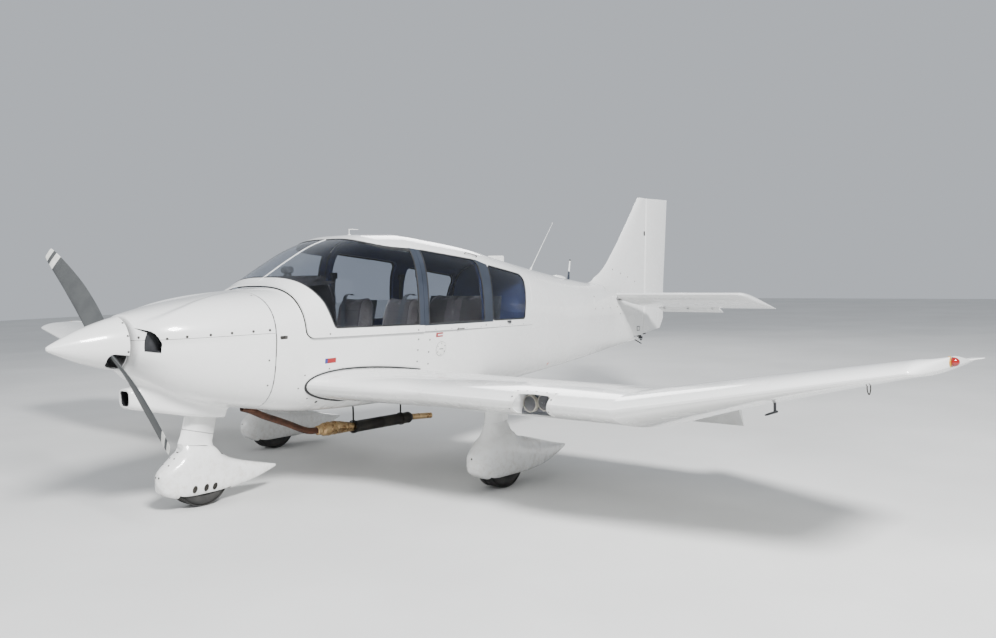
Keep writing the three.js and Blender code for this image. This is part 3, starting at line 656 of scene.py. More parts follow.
def honeycomb(name):
    """A lamp's glass with a pattern of small cells."""
    material, nodes, links, shader = new_material(name)
    place = nodes.new("ShaderNodeTexCoord")
    cells = nodes.new("ShaderNodeTexVoronoi")
    cells.feature = "DISTANCE_TO_EDGE"
    put(cells, Scale=150)
    links.new(place.outputs["Object"], cells.inputs["Vector"])
    edge = cells.outputs["Distance"]
    colour = ramp(nodes, links, edge, [(0.03, (0.003, 0.003, 0.004)), (0.26, (0.05, 0.05, 0.058))])
    links.new(colour, shader.inputs["Base Color"])
    links.new(spread(nodes, links, edge, 0.35, 0.12, 0.0, 0.2), shader.inputs["Roughness"])
    put(shader, Coat_Weight=0.1)
    add_bump(nodes, links, shader, edge, 0.6, 0.002)
    return material


WHITE = white_paint("gloss_white")
WHITE_GEAR = white_paint("gloss_white_gear", 0.25, 0.5)
GREY_POST = surface("post_grey", (0.018, 0.024, 0.036), (0.027, 0.034, 0.050), 6, (0.3, 0.42), coat=0.2,
                    bump=(60, 0.1, 0.001))
PROP_GREY = surface("propeller_grey", (0.046, 0.049, 0.051), (0.066, 0.070, 0.071), 9, (0.5, 0.62),
                    specular=0.3, bump=(70, 0.15, 0.001))
STRIPE = surface("blade_stripe", (0.6, 0.6, 0.56), (0.75, 0.75, 0.71), 20, (0.4, 0.55),
                 bump=(90, 0.1, 0.001))
SEAL = surface("black_seal", (0.012, 0.012, 0.013), (0.03, 0.03, 0.031), 12, (0.55, 0.75),
               bump=(160, 0.3, 0.001))
RUBBER = surface("tyre_rubber", (0.018, 0.018, 0.018), (0.05, 0.048, 0.045), 9, (0.72, 0.9),
                 bump=(140, 0.5, 0.001))
STEEL = surface("bare_steel", (0.30, 0.30, 0.31), (0.5, 0.5, 0.5), 18, (0.25, 0.4), 0.95,
                bump=(120, 0.15, 0.001))
SCREW = surface("screw_steel", (0.018, 0.016, 0.014), (0.075, 0.07, 0.066), 60, (0.4, 0.55), 0.4,
                bump=(300, 0.2, 0.0005))
ALLOY = surface("cast_alloy", (0.38, 0.38, 0.39), (0.55, 0.55, 0.55), 14, (0.35, 0.5), 0.9,
                bump=(150, 0.3, 0.001))
RUST = surface("rusty_pipe", (0.045, 0.020, 0.014), (0.125, 0.055, 0.032), 16, (0.5, 0.7), 0.55,
               bump=(110, 0.5, 0.001), detail=7)
BRASS = surface("brass_clamp", (0.28, 0.165, 0.075), (0.60, 0.42, 0.22), 20, (0.2, 0.38), 0.95,
                bump=(90, 0.3, 0.001), detail=6)
# Near-black sooty metal, kept this dark partly as painted shade: the silencer's colour is darkened for the
# deep shadow it hangs in under the fuselage. The tie-down rings, hangers, tail stop, grommets, bracket and
# engine block share it.
SOOT_AND_SHADE = surface("sooty_metal_and_painted_shade", (0.014, 0.013, 0.012), (0.05, 0.045, 0.038), 7, (0.45, 0.65), 0.6,
               bump=(60, 0.4, 0.002), detail=6)
DARK_TRIM = surface("dark_moulding", (0.012, 0.013, 0.015), (0.028, 0.029, 0.033), 16, (0.5, 0.7),
                    bump=(260, 0.5, 0.0008))
LINING = surface("cabin_lining", (0.013, 0.022, 0.078), (0.022, 0.036, 0.115), 8, (0.75, 0.9),
                 bump=(420, 0.4, 0.0006), sheen=0.2)
CARPET = surface("carpet", (0.02, 0.022, 0.027), (0.05, 0.052, 0.06), 60, (0.9, 1.0),
                 bump=(500, 0.8, 0.002), sheen=0.3)
SEAT_SIDE = woven("seat_bolster_cloth", (0.095, 0.078, 0.070), (0.135, 0.112, 0.100))
SEAT_MIDDLE = woven("seat_centre_cloth", (0.046, 0.034, 0.030), (0.072, 0.055, 0.048))
WEBBING = woven("belt_webbing", (0.018, 0.018, 0.02), (0.04, 0.04, 0.044), 0.002, (0.6, 0.75))
GLASS = tinted_glass("tinted_glass", (0.61, 0.64, 0.69), (0.50, 0.53, 0.57), 1.3, 0.35)
LAMP_FACE = honeycomb("lamp_face")
LENS = tinted_glass("clear_lens", (0.97, 0.975, 0.98), (0.96, 0.97, 0.98), 1.12, 0.15)
RED_LENS = surface("red_lens", (0.20, 0.0008, 0.0015), (0.28, 0.0015, 0.002), 30, (0.12, 0.2), coat=0.6)
GREEN_LENS = surface("green_lens", (0.001, 0.12, 0.03), (0.002, 0.18, 0.05), 30, (0.12, 0.2), coat=1.0)
YELLOW = surface("yellow_strip", (0.52, 0.26, 0.004), (0.60, 0.32, 0.008), 30, (0.3, 0.4), coat=0.5)
ORANGE = surface("orange_mark", (0.55, 0.035, 0.006), (0.62, 0.05, 0.01), 60, (0.35, 0.45), coat=0.4)
RED_PLATE = surface("red_plate", (0.27, 0.001, 0.004), (0.33, 0.002, 0.006), 60, (0.35, 0.45), coat=0.4)
BLUE_PLATE = surface("blue_plate", (0.014, 0.026, 0.17), (0.022, 0.04, 0.22), 60, (0.35, 0.45), coat=0.4)
PALE_PLATE = surface("pale_plate", (0.68, 0.68, 0.68), (0.78, 0.78, 0.78), 60, (0.3, 0.4), coat=0.4)
COAMING = surface("coaming_cloth", (0.009, 0.008, 0.008), (0.018, 0.016, 0.016), 14, (0.9, 1.0),
                  bump=(420, 0.3, 0.0005), specular=0.15)
LAMP_RIM = surface("lamp_rim", (0.30, 0.28, 0.23), (0.42, 0.39, 0.33), 20, (0.4, 0.55))
LAMP_BACK = surface("lamp_back", (0.016, 0.020, 0.032), (0.03, 0.036, 0.055), 20, (0.5, 0.65))
DIAL = surface("dial_black", (0.006, 0.006, 0.007), (0.012, 0.012, 0.013), 60, (0.35, 0.45))
# Mid grey for the tail's set-in bulkhead: painted shade of the recess it sits in.
BULKHEAD_SHADE_GREY = surface("painted_shade_grey", (0.22, 0.23, 0.20), (0.32, 0.33, 0.30), 9, (0.5, 0.65),
                 bump=(90, 0.2, 0.001))
AERIAL_WHITE = surface("aerial_white", (0.72, 0.72, 0.70), (0.8, 0.8, 0.78), 25, (0.35, 0.5), coat=0.3)


def piece(obj, name, *materials, body="airframe", replaces=(), slot=None, angle=30):
    """Names a finished object, gives it its materials and lets it ride on its body."""
    obj.name = name
    obj.data.name = name
    obj.data.materials.clear()
    for material in materials:
        obj.data.materials.append(material)
    smooth(obj, angle)
    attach(obj, body)
    if replaces:
        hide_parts(*replaces)
    return obj


def paint_faces(obj, index, chosen):
    """Gives the faces whose centre (mm, station) satisfies `chosen` another material."""
    faces = obj.data.polygons
    centres = triples(faces, "center") * 1000
    centres[:, 1] += LENGTH / 2
    slots = np.empty(len(faces), np.int32)
    faces.foreach_get("material_index", slots)
    slots[chosen(centres)] = index
    faces.foreach_set("material_index", slots)


# Fuselage

SIDE_WINDOWS = {
    "mid": ([(2551, 1100), (3216, 1085), (3200, 1572), (2552, 1652)], (12, 32, 62, 14)),
    "rear": ([(3321, 1084), (3806, 1070), (3872, 1440), (3332, 1531)], (30, 32, 66, 32)),
}
POSTS = [(2400, 1094), (3326, 1074), (3334, 1534), (3200, 1574), (2552, 1654), (2400, 1672)]
ROOF_REAR = 3925


def canopy_outline(more):
    front = CANOPY_FRONT - more
    sill = sill_height(1550) - more
    return ([(front - 10, 2200), (front - 10, 1300)] + arc(front + 55, sill + 55, 55, 180, 270, 10)
            + [(CANOPY_REAR + more, sill_height(CANOPY_REAR) - more), (CANOPY_REAR + more, 2200)])


def canopy_glass_outline(more):
    rear = 2450 + more
    return rounded([(1500 - more, 2200), (1512 - more, 1480), (1552 - more, 1392), (1600 - more, 1300),
                    (1648 - more, 1170), (1668 - more, 1128 - more), (rear, 1104 - more), (rear, 2200)],
                   (0, 0, 0, 0, 34, 34, 16, 0))


def above_sill(more=0, rear=ROOF_REAR):
    return side_bar([(CANOPY_REAR - 200, sill_height(CANOPY_REAR - 200) + more),
                     (rear, sill_height(rear) + more), (rear, 2300), (CANOPY_REAR - 200, 2300)])


def window_outline(name, more):
    return grown_outline(rounded(*SIDE_WINDOWS[name], 7), more)


RUDDER_HINGE = ((6415, 740), (6530, FIN_TOP))


def hinge_station(z):
    (y0, z0), (y1, z1) = RUDDER_HINGE
    return mix(y0, y1, (z - z0) / (z1 - z0))


def post_half(z):
    return mix(46, 27, (z - 700) / (FIN_TOP - 700))


FIN_ROWS = monotone(np.array([
    [745, 6190], [900, 5960], [1180, 5640], [1290, 5440], [1345, 5395], [1375, 5500], [1440, 5640],
    [1640, 5862], [FIN_TOP, 6385],
], float))


def fin_solid():
    rings = []
    heights = np.concatenate([np.linspace(745, 1280, 12), np.linspace(1300, 1640, 24),
                              np.linspace(1660, 2212, 20),
                              [2222, 2228, FIN_TOP]])
    for z in heights:
        back = hinge_station(z) - post_half(z) - 6
        front = float(FIN_ROWS(z)[0])
        top = max(0.0, (z - 2212) / (FIN_TOP - 2212))
        half = post_half(z) * math.sqrt(1 - 0.75 * top * top)
        nose = min(front + 14 * top, back - 60)
        ring = []
        for u in 0.5 - 0.5 * np.cos(np.linspace(0, math.pi, 15)):
            span = 1 - (1 - min(u / 0.55, 1)) ** 2
            ring.append((half * math.sqrt(span), mix(nose, back, u), z))
        ring += [(-x, y, h) for x, y, h in ring[:0:-1]]
        rings.append(ring)
    return loft(rings)


TAIL_SEAM = [(5221, 1313), (5209, 1256), (5236, 1202), (5217, 1139), (5204, 1095), (5276, 1068),
             (5534, 1061), (5740, 1066)]
SEAM_HALF_WIDTH = 2.8
PANEL_SEAM = [(3975, 1450), (3968, 1418), (3944, 1319), (3936, 1251), (3915, 1153), (3882, 1022)]


def build_fuselage():
    skin = body_solid(0, FIREWALL + 6, 6315, 24)
    minus(skin, side_bar([(6290, 0), (7000, 0), (7000, 2300), (5420, 2300), (5610, 1260), (6290, 640)]))
    fin = fin_solid()
    minus(fin, side_bar([(6200, 2233), (6600, 2209), (6600, 2400), (6200, 2400)]))
    union(skin, fin)
    soften(skin, 0.075, 14, lambda p: (p[:, 1] > 1.6) & (p[:, 2] > 1.24))
    inner = body_solid(-5, FIREWALL - 30, 6300, 40, (20, 22))
    common(inner, side_bar([(1000, 0), (6276, 0), (6276, 630), (5598, 1248), (5405, 2300), (1000, 2300)]))
    minus(skin, inner)
    minus(skin, side_bar(canopy_outline(3)))
    lower_edge = above_sill(0)
    common(lower_edge, box(-FAR, FAR, CANOPY_REAR + 2, 5000, 0, 2400))
    minus(skin, lower_edge)
    half = SEAM_HALF_WIDTH
    for line, y0, y1 in ((PANEL_SEAM, 3800, 4050), (TAIL_SEAM, 5200, 5800)):
        seam = side_bar([(y - half, z) for y, z in line] + [(y + half, z - 1.5) for y, z in line[::-1]])
        minus(skin, common(seam, body_shell(8, -1.8, y0, y1, 12)))
    piece(skin, "fuselage_skin", WHITE, replaces=("cabin_tub", "fuselage_tail", "fin"),
          slot="white_skin", angle=28)
    backing = body_shell(-2.5, -8, FIREWALL - 9, FIREWALL + 12, 3, (46, 56))
    piece(backing, "firewall_seal", SEAL, slot="dark_trim")
    close_tail()


def close_tail():
    """The sloping bulkhead that closes the tail's end, set in a little from the skin's edge; its grey is
    painted shade of that recess.
    """
    plug = body_solid(-5.5, 5200, 6300, 40, (20, 22))
    common(plug, side_bar([(6262, 0), (6262, 628), (5590, 1240), (5396, 2300), (5372, 2300), (5566, 1230),
                           (6238, 618), (6238, 0)]))
    piece(plug, "tail_bulkhead", BULKHEAD_SHADE_GREY, slot="steel")


def build_roof():
    step, steps = 20, (44, 12)
    roof = body_shell(roof_skin, lambda y: roof_skin(y) - 6, CANOPY_REAR + 6, ROOF_REAR, step, steps)
    common(roof, above_sill(3))
    lining = body_shell(lambda y: roof_skin(y) - 12, lambda y: -24, CANOPY_REAR + 8, CABIN_REAR - 26,
                        30, (30, 12))
    common(lining, above_sill(6))
    for name in SIDE_WINDOWS:
        for side in (1, -1):
            hole = side_bar(window_outline(name, 0), 0, side * FAR)
            minus(roof, hole)
            hole = side_bar(window_outline(name, 1.5), 0, side * FAR)
            minus(lining, hole)
    posts = copy_of(roof)
    common(posts, side_bar(POSTS))
    minus(roof, side_bar(POSTS))
    piece(roof, "roof_skin", WHITE, replaces=("cabin_roof",), slot="white_skin", angle=28)
    piece(posts, "roof_posts", GREY_POST, slot="leg_metal", angle=28)
    piece(lining, "roof_lining", LINING, slot="cabin_lining")
    pane_outer, seal_outer = (body_shell(lambda y: roof_skin(y) + outer, lambda y: roof_skin(y) - inner,
                                         CANOPY_REAR + 20, 3900, 24, (40, 10))
                              for outer, inner in ((-1.5, 5.5), (1.6, 7)))
    for name in SIDE_WINDOWS:
        for side, word in SIDES:
            pane = copy_of(pane_outer)
            common(pane, side_bar(window_outline(name, -4), 0, side * FAR))
            piece(pane, f"{name}_pane_{word}", GLASS, replaces=(f"{name}_window_{word}",),
                  slot="window_glass")
            seal = copy_of(seal_outer)
            common(seal, side_bar(window_outline(name, 3), 0, side * FAR))
            minus(seal, side_bar(window_outline(name, -7), -FAR, FAR))
            piece(seal, f"{name}_seal_{word}", SEAL, slot="dark_trim")
    remove(pane_outer, seal_outer)


CANOPY_SKIN = 19
ROOF_PANEL = [(115, 2078), (230, 2078), (265, 2080), (300, 2085), (326, 2090), (350, 2098), (384, 2115),
              (402, 2126), (416, 2140), (431, 2156), (442, 2172), (460, 2225), (472, 2292), (481, 2370),
              (488, 2453), (497, 2700)]


def roof_panel_outline(more):
    """The canopy's white roof panel from above."""
    half = [(x + more * min(1, x / 300), y - more) for x, y in ROOF_PANEL]
    return [(-x, y) for x, y in half[::-1]] + half


def glass_bar(more, panel_more):
    """What the canopy's glass is cut from: its side outline less the roof panel above it."""
    return minus(side_bar(canopy_glass_outline(more)), plan_bar(roof_panel_outline(panel_more), 1200, 2300))


def build_canopy():
    step, steps = 18, (52, 10)
    shell = body_shell(CANOPY_SKIN, CANOPY_SKIN - 11, CANOPY_FRONT - 12, CANOPY_REAR, step, steps)
    common(shell, side_bar(canopy_outline(0)))
    minus(shell, glass_bar(0, 0))
    grey_region = side_bar([(2445, 1098), (2520, 1096), (2520, 1657), (2445, 1668)])
    bow = copy_of(shell)
    common(bow, grey_region, keep=True)
    minus(shell, grey_region)
    piece(shell, "canopy_shell", WHITE, body="canopy", replaces=("canopy_frame",),
          slot="white_moulding", angle=28)
    piece(bow, "canopy_bow", GREY_POST, body="canopy", slot="leg_metal", angle=28)
    pane = body_shell(CANOPY_SKIN - 2, CANOPY_SKIN - 7, CANOPY_FRONT - 12, CANOPY_REAR, step, steps)
    common(pane, glass_bar(-1, 1))
    piece(pane, "canopy_pane", GLASS, body="canopy", replaces=("canopy_glass",),
          slot="window_glass", angle=28)
    seal = body_shell(CANOPY_SKIN + 1.2, CANOPY_SKIN - 8.5, CANOPY_FRONT - 12, CANOPY_REAR, step, steps)
    common(seal, minus(glass_bar(3, -3), glass_bar(-7, 7)))
    piece(seal, "canopy_seal", SEAL, body="canopy", slot="dark_trim", angle=28)
    strip = body_shell(CANOPY_SKIN + 1.5, CANOPY_SKIN - 8, CANOPY_FRONT, 2100, step, steps)
    common(strip, box(-5, 5, 1475, 2080, 1300, 2000))
    piece(strip, "windscreen_strip", AERIAL_WHITE, body="canopy", slot="dark_trim")
    inner = body_shell(CANOPY_SKIN - 11.6, CANOPY_SKIN - 14.6, CANOPY_FRONT - 12, CANOPY_REAR - 2,
                       24, (36, 8))
    common(inner, side_bar(canopy_outline(-4)))
    minus(inner, glass_bar(2, -2))
    piece(inner, "canopy_lining", LINING, body="canopy", slot="cabin_lining")


# Nose

INLET = [(172, 1198), (205, 1184), (236, 1168), (233, 1110), (230, 1056), (298, 1040), (305, 1105),
         (302, 1136), (291, 1160), (272, 1175), (246, 1183), (210, 1192)]


def build_nose():
    steps = (46, 56)
    stations = list(np.linspace(COWL_FRONT, 461, 7)) + list(np.linspace(472, FIREWALL - 2, 58))
    rings = []
    for y in stations:
        inset = 14 * (1 - math.sqrt(max(0.0, 1 - ((461 - min(y, 461)) / 16) ** 2)))
        rings.append(body_ring(y, -inset, steps))
    skin = loft(rings)
    points = in_millimetres(skin)
    x, y, z = points.T
    crease = np.interp(y, [445, 477, 514, 571, 637, 749, 929, 1119, 1235],
                       [165, 174, 189, 205, 207, 191, 131, 68, 45])
    swell = np.interp(y, [440, 500, 620, 800, 1000, 1180, 1235], [10, 21, 22, 17, 11, 3, 0])
    cheek = swell * smoothstep(np.abs(x) - crease, 0, 62) * smoothstep(z, 1085, 1160)
    jaw = 7 * np.exp(-((y - 640) / 240) ** 2) * np.exp(-((z - 1070) / 90) ** 2)
    jaw = jaw * smoothstep(np.abs(x), 120, 220)
    half = np.interp(y, BODY[:, 0], BODY[:, 1])
    height = np.interp(y, BODY[:, 0], BODY[:, 4]) - SPINNER_HEIGHT
    across, rise = x / half ** 2, np.maximum(z - SPINNER_HEIGHT, 0) / height ** 2
    steep = np.maximum(np.hypot(across, rise), 1e-9)
    points[:, 0] += np.sign(x) * jaw + across / steep * cheek
    points[:, 2] += rise / steep * cheek
    points[:, 1] -= LENGTH / 2
    put_points(skin, points / 1000)
    scoop_at = monotone(np.array([
        [468, 72, 692, 822], [620, 105, 655, 850], [820, 140, 610, 860], [1020, 150, 575, 850],
        [1215, 140, 552, 760],
    ], float))

    def scoop(less, start, end, count, lip=0):
        rings = []
        for y in np.linspace(start, end, count):
            half, low, high = scoop_at(y)
            short = (start + 14 - min(y, start + 14)) / 14
            inset = less + lip * (1 - math.sqrt(max(0.0, 1 - short ** 2)))
            ring = []
            for cx, cz, start_angle in ((1, -1, 270), (1, 1, 0), (-1, 1, 90), (-1, -1, 180)):
                corner = 45 if cz < 0 else 42
                centre_z = low + corner if cz < 0 else high - corner
                ring += arc(cx * (half - corner), centre_z, corner - inset, start_angle,
                            start_angle + 90, 8)
            rings.append([(x, y, z) for x, z in ring])
        return loft(rings)
    union(skin, scoop(0, 460, FIREWALL - 12, 60, 8))
    soften(skin, 0.085, 26, lambda p: p[:, 2] < 0.98)
    hollow_front = COWL_FRONT + 14
    minus(skin, body_solid(-10, hollow_front, FIREWALL + 40, 40, (24, 24)))
    minus(skin, scoop(17, 440, FIREWALL + 30, 30))
    front = SPINNER_HEIGHT
    minus(skin, lathe([(0, 380), (118, 380), (118, 600), (0, 600)], (0, 0, front), "y"))
    for side in (1, -1):
        minus(skin, front_bar([(side * x, z) for x, z in INLET], 380, 640))
    minus(skin, box(-190, 190, 1080, FIREWALL + 50, 400, 700))
    split = SPINNER_HEIGHT + 24
    top = copy_of(skin)
    common(top, box(-FAR, FAR, 0, 1500, split + 1.2, 2000))
    common(skin, box(-FAR, FAR, 0, 1500, 0, split - 1.2))
    piece(top, "cowl_top", WHITE, replaces=("upper_cowling",), slot="white_moulding", angle=34)
    piece(skin, "cowl_bottom", WHITE, replaces=("lower_cowling",), slot="white_moulding", angle=34)
    for side, word in SIDES:
        outline = [(side * x, z) for x, z in INLET]
        wall = front_bar(grown_outline(outline, 5), 452, 640)
        minus(wall, front_bar(grown_outline(outline, 1.5), 430, 622))
        common(wall, body_solid(-4, 446, 800, 12, steps))
        piece(wall, f"inlet_duct_{word}", DARK_TRIM, slot="dark_metal")
    throat = minus(scoop(16.5, 470, 800, 20), scoop(20, 458, 780, 20))
    piece(throat, "scoop_duct", DARK_TRIM, slot="dark_metal")


# Spinner and propeller

PHASE = math.radians(140)
DISC = 350
BLADE_TIP = 890
BLADE_STRIPES = ((775, 823), (857, 900))
# radius, chord, thickness, pitch in degrees
BLADE_ROWS = np.array([
    [60, 104, 48, 50], [170, 124, 32, 40], [300, 138, 22, 29], [450, 142, 16, 22],
    [620, 128, 11, 18.5], [780, 106, 8, 15.5], [860, 88, 6, 14], [890, 74, 5, 13.5],
], float)


def blade_ring(row, angle):
    r, chord, thickness, pitch = row
    radial = np.array([math.cos(angle), 0, math.sin(angle)])
    onward = np.array([-math.sin(angle), 0, math.cos(angle)])
    lean = math.radians(pitch)
    along = onward * math.cos(lean) + np.array([0, -math.sin(lean), 0])
    flatwise = np.cross(radial, along)
    bow = math.sin(math.pi * r / BLADE_TIP)
    centre = radial * r + np.array([0, DISC, SPINNER_HEIGHT]) - along * 9 * bow
    centre[1] += 20 * bow
    ring = []
    for a in np.linspace(0, 2 * math.pi, 40, endpoint=False):
        u = 0.5 * math.cos(a)
        v = 0.5 * math.sin(a) * (0.80 + 0.25 * math.cos(a)) * (1.0 if math.sin(a) > 0 else 0.72)
        ring.append(centre + along * u * chord + flatwise * v * thickness)
    return ring


def build_propeller():
    cone = smooth_path([(r, y, 0) for r, y in [(0.5, 0), (14, 5), (40, 56), (73, 128), (103, 202),
                                               (134, 296), (152, 362), (166, 425)]], 5)
    outer = [(max(r, 0.5), y) for r, y, _ in cone]
    shell = lathe(outer + [(155, 425), (141, 362), (122, 290), (90, 200), (30, 60), (0.5, 30)],
                  (0, 0, SPINNER_HEIGHT), "y", 72)
    for half in (0, math.pi):
        radial = np.array([math.cos(PHASE + half), 0, math.sin(PHASE + half)])
        centre = np.array([0, 0, SPINNER_HEIGHT])
        slot_outline = rounded([(48, 460), (48, DISC - 46), (-80, DISC - 40), (-80, 460)],
                               [0, 44, 50, 0], 8)
        side = np.array([-radial[2], 0, radial[0]])
        rings = [[centre + radial * far + side * u + np.array([0, y, 0]) for u, y in slot_outline]
                 for far in (20, 260)]
        minus(shell, loft(rings))
    piece(shell, "spinner_shell", WHITE, body="propeller", replaces=("spinner",),
          slot="white_moulding", angle=34)
    back = lathe([(40, 413), (154, 413), (154, 419), (40, 419), (40, 413)], (0, 0, SPINNER_HEIGHT), "y", 64)
    piece(back, "spinner_backplate", ALLOY, body="propeller", slot="propeller_grey")
    table = monotone(BLADE_ROWS)
    radii = np.concatenate([np.linspace(60, 760, 38), np.arange(770, 880, 6), [880, 884, 887, 889, 890]])
    blades = []
    for k, angle in enumerate((PHASE, PHASE + math.pi)):
        rings = []
        for r in radii:
            row = np.concatenate([[r], table(r)])
            if r > 878:
                row[1] *= 0.86 + 0.14 * math.sqrt(max(0.0, 1 - ((r - 878) / 12) ** 2))
            rings.append(blade_ring(row, angle))
        blades.append(loft(rings))
    hub = lathe([(0, DISC - 55), (62, DISC - 55), (72, DISC - 45), (72, COWL_FRONT + 60),
                 (0, COWL_FRONT + 60)],
                (0, 0, SPINNER_HEIGHT), "y", 40)
    whole = union(blades[0], blades[1], hub)
    piece(whole, "propeller_blades", PROP_GREY, STRIPE, body="propeller", replaces=("propeller",),
          slot="propeller_grey")

    def in_stripe(centres):
        r = np.hypot(centres[:, 0], centres[:, 2] - SPINNER_HEIGHT)
        return np.any([(r > low) & (r < high) for low, high in BLADE_STRIPES], axis=0)
    paint_faces(whole, 1, in_stripe)
    bolts = []
    for k in range(6):
        a = PHASE + math.radians(30 + 60 * k)
        place = np.array([48 * math.cos(a), DISC - 60, SPINNER_HEIGHT + 48 * math.sin(a)])
        bolts.append(lathe([(0, 0), (9, 0), (9, 12), (0, 12)], place, "y", 6))
    piece(merged(bolts), "hub_bolts", STEEL, body="propeller", slot="propeller_grey")


build_fuselage()
build_roof()
build_canopy()
build_nose()
build_propeller()


# Wing

# x, y and z of the nose, chord, thickness ratio, camber, nose-up angle
WING_STATIONS = {
    "root": (300, WING_FRONT - 330, 770, CENTRE_CHORD + 330, 0.118, 0, 5.6),
    "strake": (1150, WING_FRONT, 733, CENTRE_CHORD, 0.133, 0, 5.5),
    "crank": (CRANK, WING_FRONT, 736, CENTRE_CHORD, 0.128, 0, 5.5),
    "shoulder": (4270, WING_FRONT + 112, 1020, 840, 0.09, 0.018, 2),
    "tip": (HALF_SPAN, WING_FRONT + 230, 1022, 690, 0.04, 0.018, 1),
}
WING_STEPS = 0.5 - 0.5 * np.cos(np.linspace(0, math.pi, 36))


def half_thickness(u, ratio):
    return 5 * ratio * (0.2969 * math.sqrt(u) - 0.126 * u - 0.3516 * u ** 2 + 0.2843 * u ** 3
                        - 0.1036 * u ** 4)


def mean_line(u, camber):
    return camber * (1 - ((0.2 - u) / 0.2) ** 2 if u < 0.2 else (1 - u) / 0.8)


def wing_section(station, grow=0.0):
    x, y, z, chord, ratio, camber, up = station
    tilt = math.radians(up)

    def place(u, side):
        lift = (mean_line(u, camber) + side * max(half_thickness(u, ratio), 0.0012)) * chord
        return (y + u * chord * math.cos(tilt) + lift * math.sin(tilt),
                z - u * chord * math.sin(tilt) + lift * math.cos(tilt))
    outline = [place(u, 1) for u in WING_STEPS] + [place(u, -1) for u in WING_STEPS[:0:-1]]
    if grow:
        outline = grown_outline(outline, grow)
    return [(x, a, b) for a, b in outline]


def between_stations(first, second, x):
    a, b = WING_STATIONS[first], WING_STATIONS[second]
    t = (x - a[0]) / (b[0] - a[0])
    return tuple(mix(p, q, t) for p, q in zip(a, b))


def wing_at(x):
    """The plain wing's section at x, without the widened root."""
    return between_stations("strake", "crank", x) if x < CRANK else between_stations("crank", "shoulder", x)


def hinge_line(x0, x1, share):
    ends = []
    for x in (x0, x1):
        _, y, z, chord, ratio, camber, up = wing_at(x)
        part = share(chord)
        u, tilt = 1 - part, math.radians(up)
        lift = mean_line(u, camber) * chord
        place = np.array([x, y + u * chord * math.cos(tilt), z - u * chord * math.sin(tilt) + lift])
        ends.append((place, half_thickness(u, ratio) * chord, part * chord, tilt))
    along = ends[1][0] - ends[0][0]
    along /= np.linalg.norm(along)
    aft = np.array([0, 1.0, 0]) - along * along[1]
    aft /= np.linalg.norm(aft)
    sweep = (ends[0][0][1] + ends[0][2] - ends[1][0][1] - ends[1][2]) / (x1 - x0)
    return ends, along, aft, np.cross(along, aft), 1 / (aft[1] + sweep * aft[0])


def blend_ends(ends, t):
    return tuple(mix(a, b, t) for a, b in zip(*ends))


def control_surface(x0, x1, share, down):
    ends, _, aft, up, stretch = hinge_line(x0, x1, share)
    rings = []
    for t in np.linspace(0, 1, 9):
        place, radius, depth, tilt = blend_ends(ends, t)
        drop = tilt + math.radians(down)
        length = depth * stretch
        ring = arc(0, 0, radius, 84, 276, 22) + [(length - 1, -2.5), (length, -1.2), (length, 1.2),
                                                 (length - 1, 2.5)]
        rings.append([place + aft * (a * math.cos(drop) + b * math.sin(drop))
                      + up * (b * math.cos(drop) - a * math.sin(drop)) for a, b in ring])
    return loft(rings)


def control_bay(x0, x1, share, inner_gap, outer_gap, clear):
    ends, along, aft, up, _ = hinge_line(x0, x1, share)
    rings = []
    for (place, radius, depth, _), shift in zip(ends, (-inner_gap, outer_gap)):
        ring = arc(0, 0, radius + clear, 90, 270, 20) + [(0, -300), (depth + 400, -300),
                                                         (depth + 400, 300), (0, 300)]
        rings.append([place + along * shift + aft * a + up * b for a, b in ring])
    return loft(rings)


FLAP_CHORD = 180
FLAP_SPAN = (620, 2692)
AILERON_SPAN = (2800, 4080)


def flap_share(chord):
    return FLAP_CHORD / chord


def aileron_share(_):
    return 0.24


def wing_slab(x0, x1, grow, stations):
    return loft([wing_section(between_stations(*stations, x), grow) for x in (x0, x1)])


def groove(obj, x, stations=("strake", "crank"), width=2.4, depth=2.0):
    """A fine seam round the wing at one x."""
    cutter = wing_slab(x - width / 2, x + width / 2, 3, stations)
    minus(cutter, wing_slab(x - width, x + width, -depth, stations))
    return minus(obj, cutter)


def build_wing():
    inner_rows = [between_stations("root", "strake", x) for x in np.linspace(300, 1150, 9)[:-1]]
    inner_rows += [wing_at(x) for x in list(np.linspace(1150, 2650, 12)) + [2680, CRANK - 0.1]]
    inner = loft([wing_section(row) for row in inner_rows])
    body = body_solid(0.6, 1250, 3950, 30)
    minus(inner, body)
    minus(inner, control_bay(*FLAP_SPAN, flap_share, 400, 400, 6))
    groove(inner, 1282)
    outer_places = [CRANK + 0.1, 2720, 2760] + list(np.linspace(2850, TIP_START - 30, 12))
    outer = loft([wing_section(wing_at(x)) for x in outer_places] + tip_rows())
    union(outer, tip_horn())
    minus(outer, control_bay(*AILERON_SPAN, aileron_share, 4, 4, 4))
    groove(outer, 4200, ("crank", "shoulder"), 2.0, 1.5)
    aileron = control_surface(*AILERON_SPAN, aileron_share, 0)
    flap = control_surface(*FLAP_SPAN, flap_share, 60)
    for side, word in SIDES:
        def own(obj):
            return copy_of(obj) if side == 1 else mirrored(obj)
        wing = own(inner)
        if side == 1:
            fit_landing_lights(wing)
        piece(wing, f"inner_wing_skin_{word}", WHITE, replaces=(f"inner_wing_{word}",),
              slot="white_skin", angle=26)
        piece(own(outer), f"outer_wing_skin_{word}", WHITE, replaces=(f"outer_wing_{word}",),
              slot="white_skin", angle=26)
        piece(own(aileron), f"aileron_skin_{word}", WHITE, body=f"aileron_{word}",
              replaces=(f"aileron_{word}",), slot="white_skin", angle=26)
        piece(own(flap), f"flap_skin_{word}", WHITE, body=f"flap_{word}", replaces=(f"flap_{word}",),
              slot="white_skin", angle=26)
        root_seal(side, word)
        tip_lamp(side, word)
        tie_down(side, word)
    remove(inner, outer, aileron, flap)


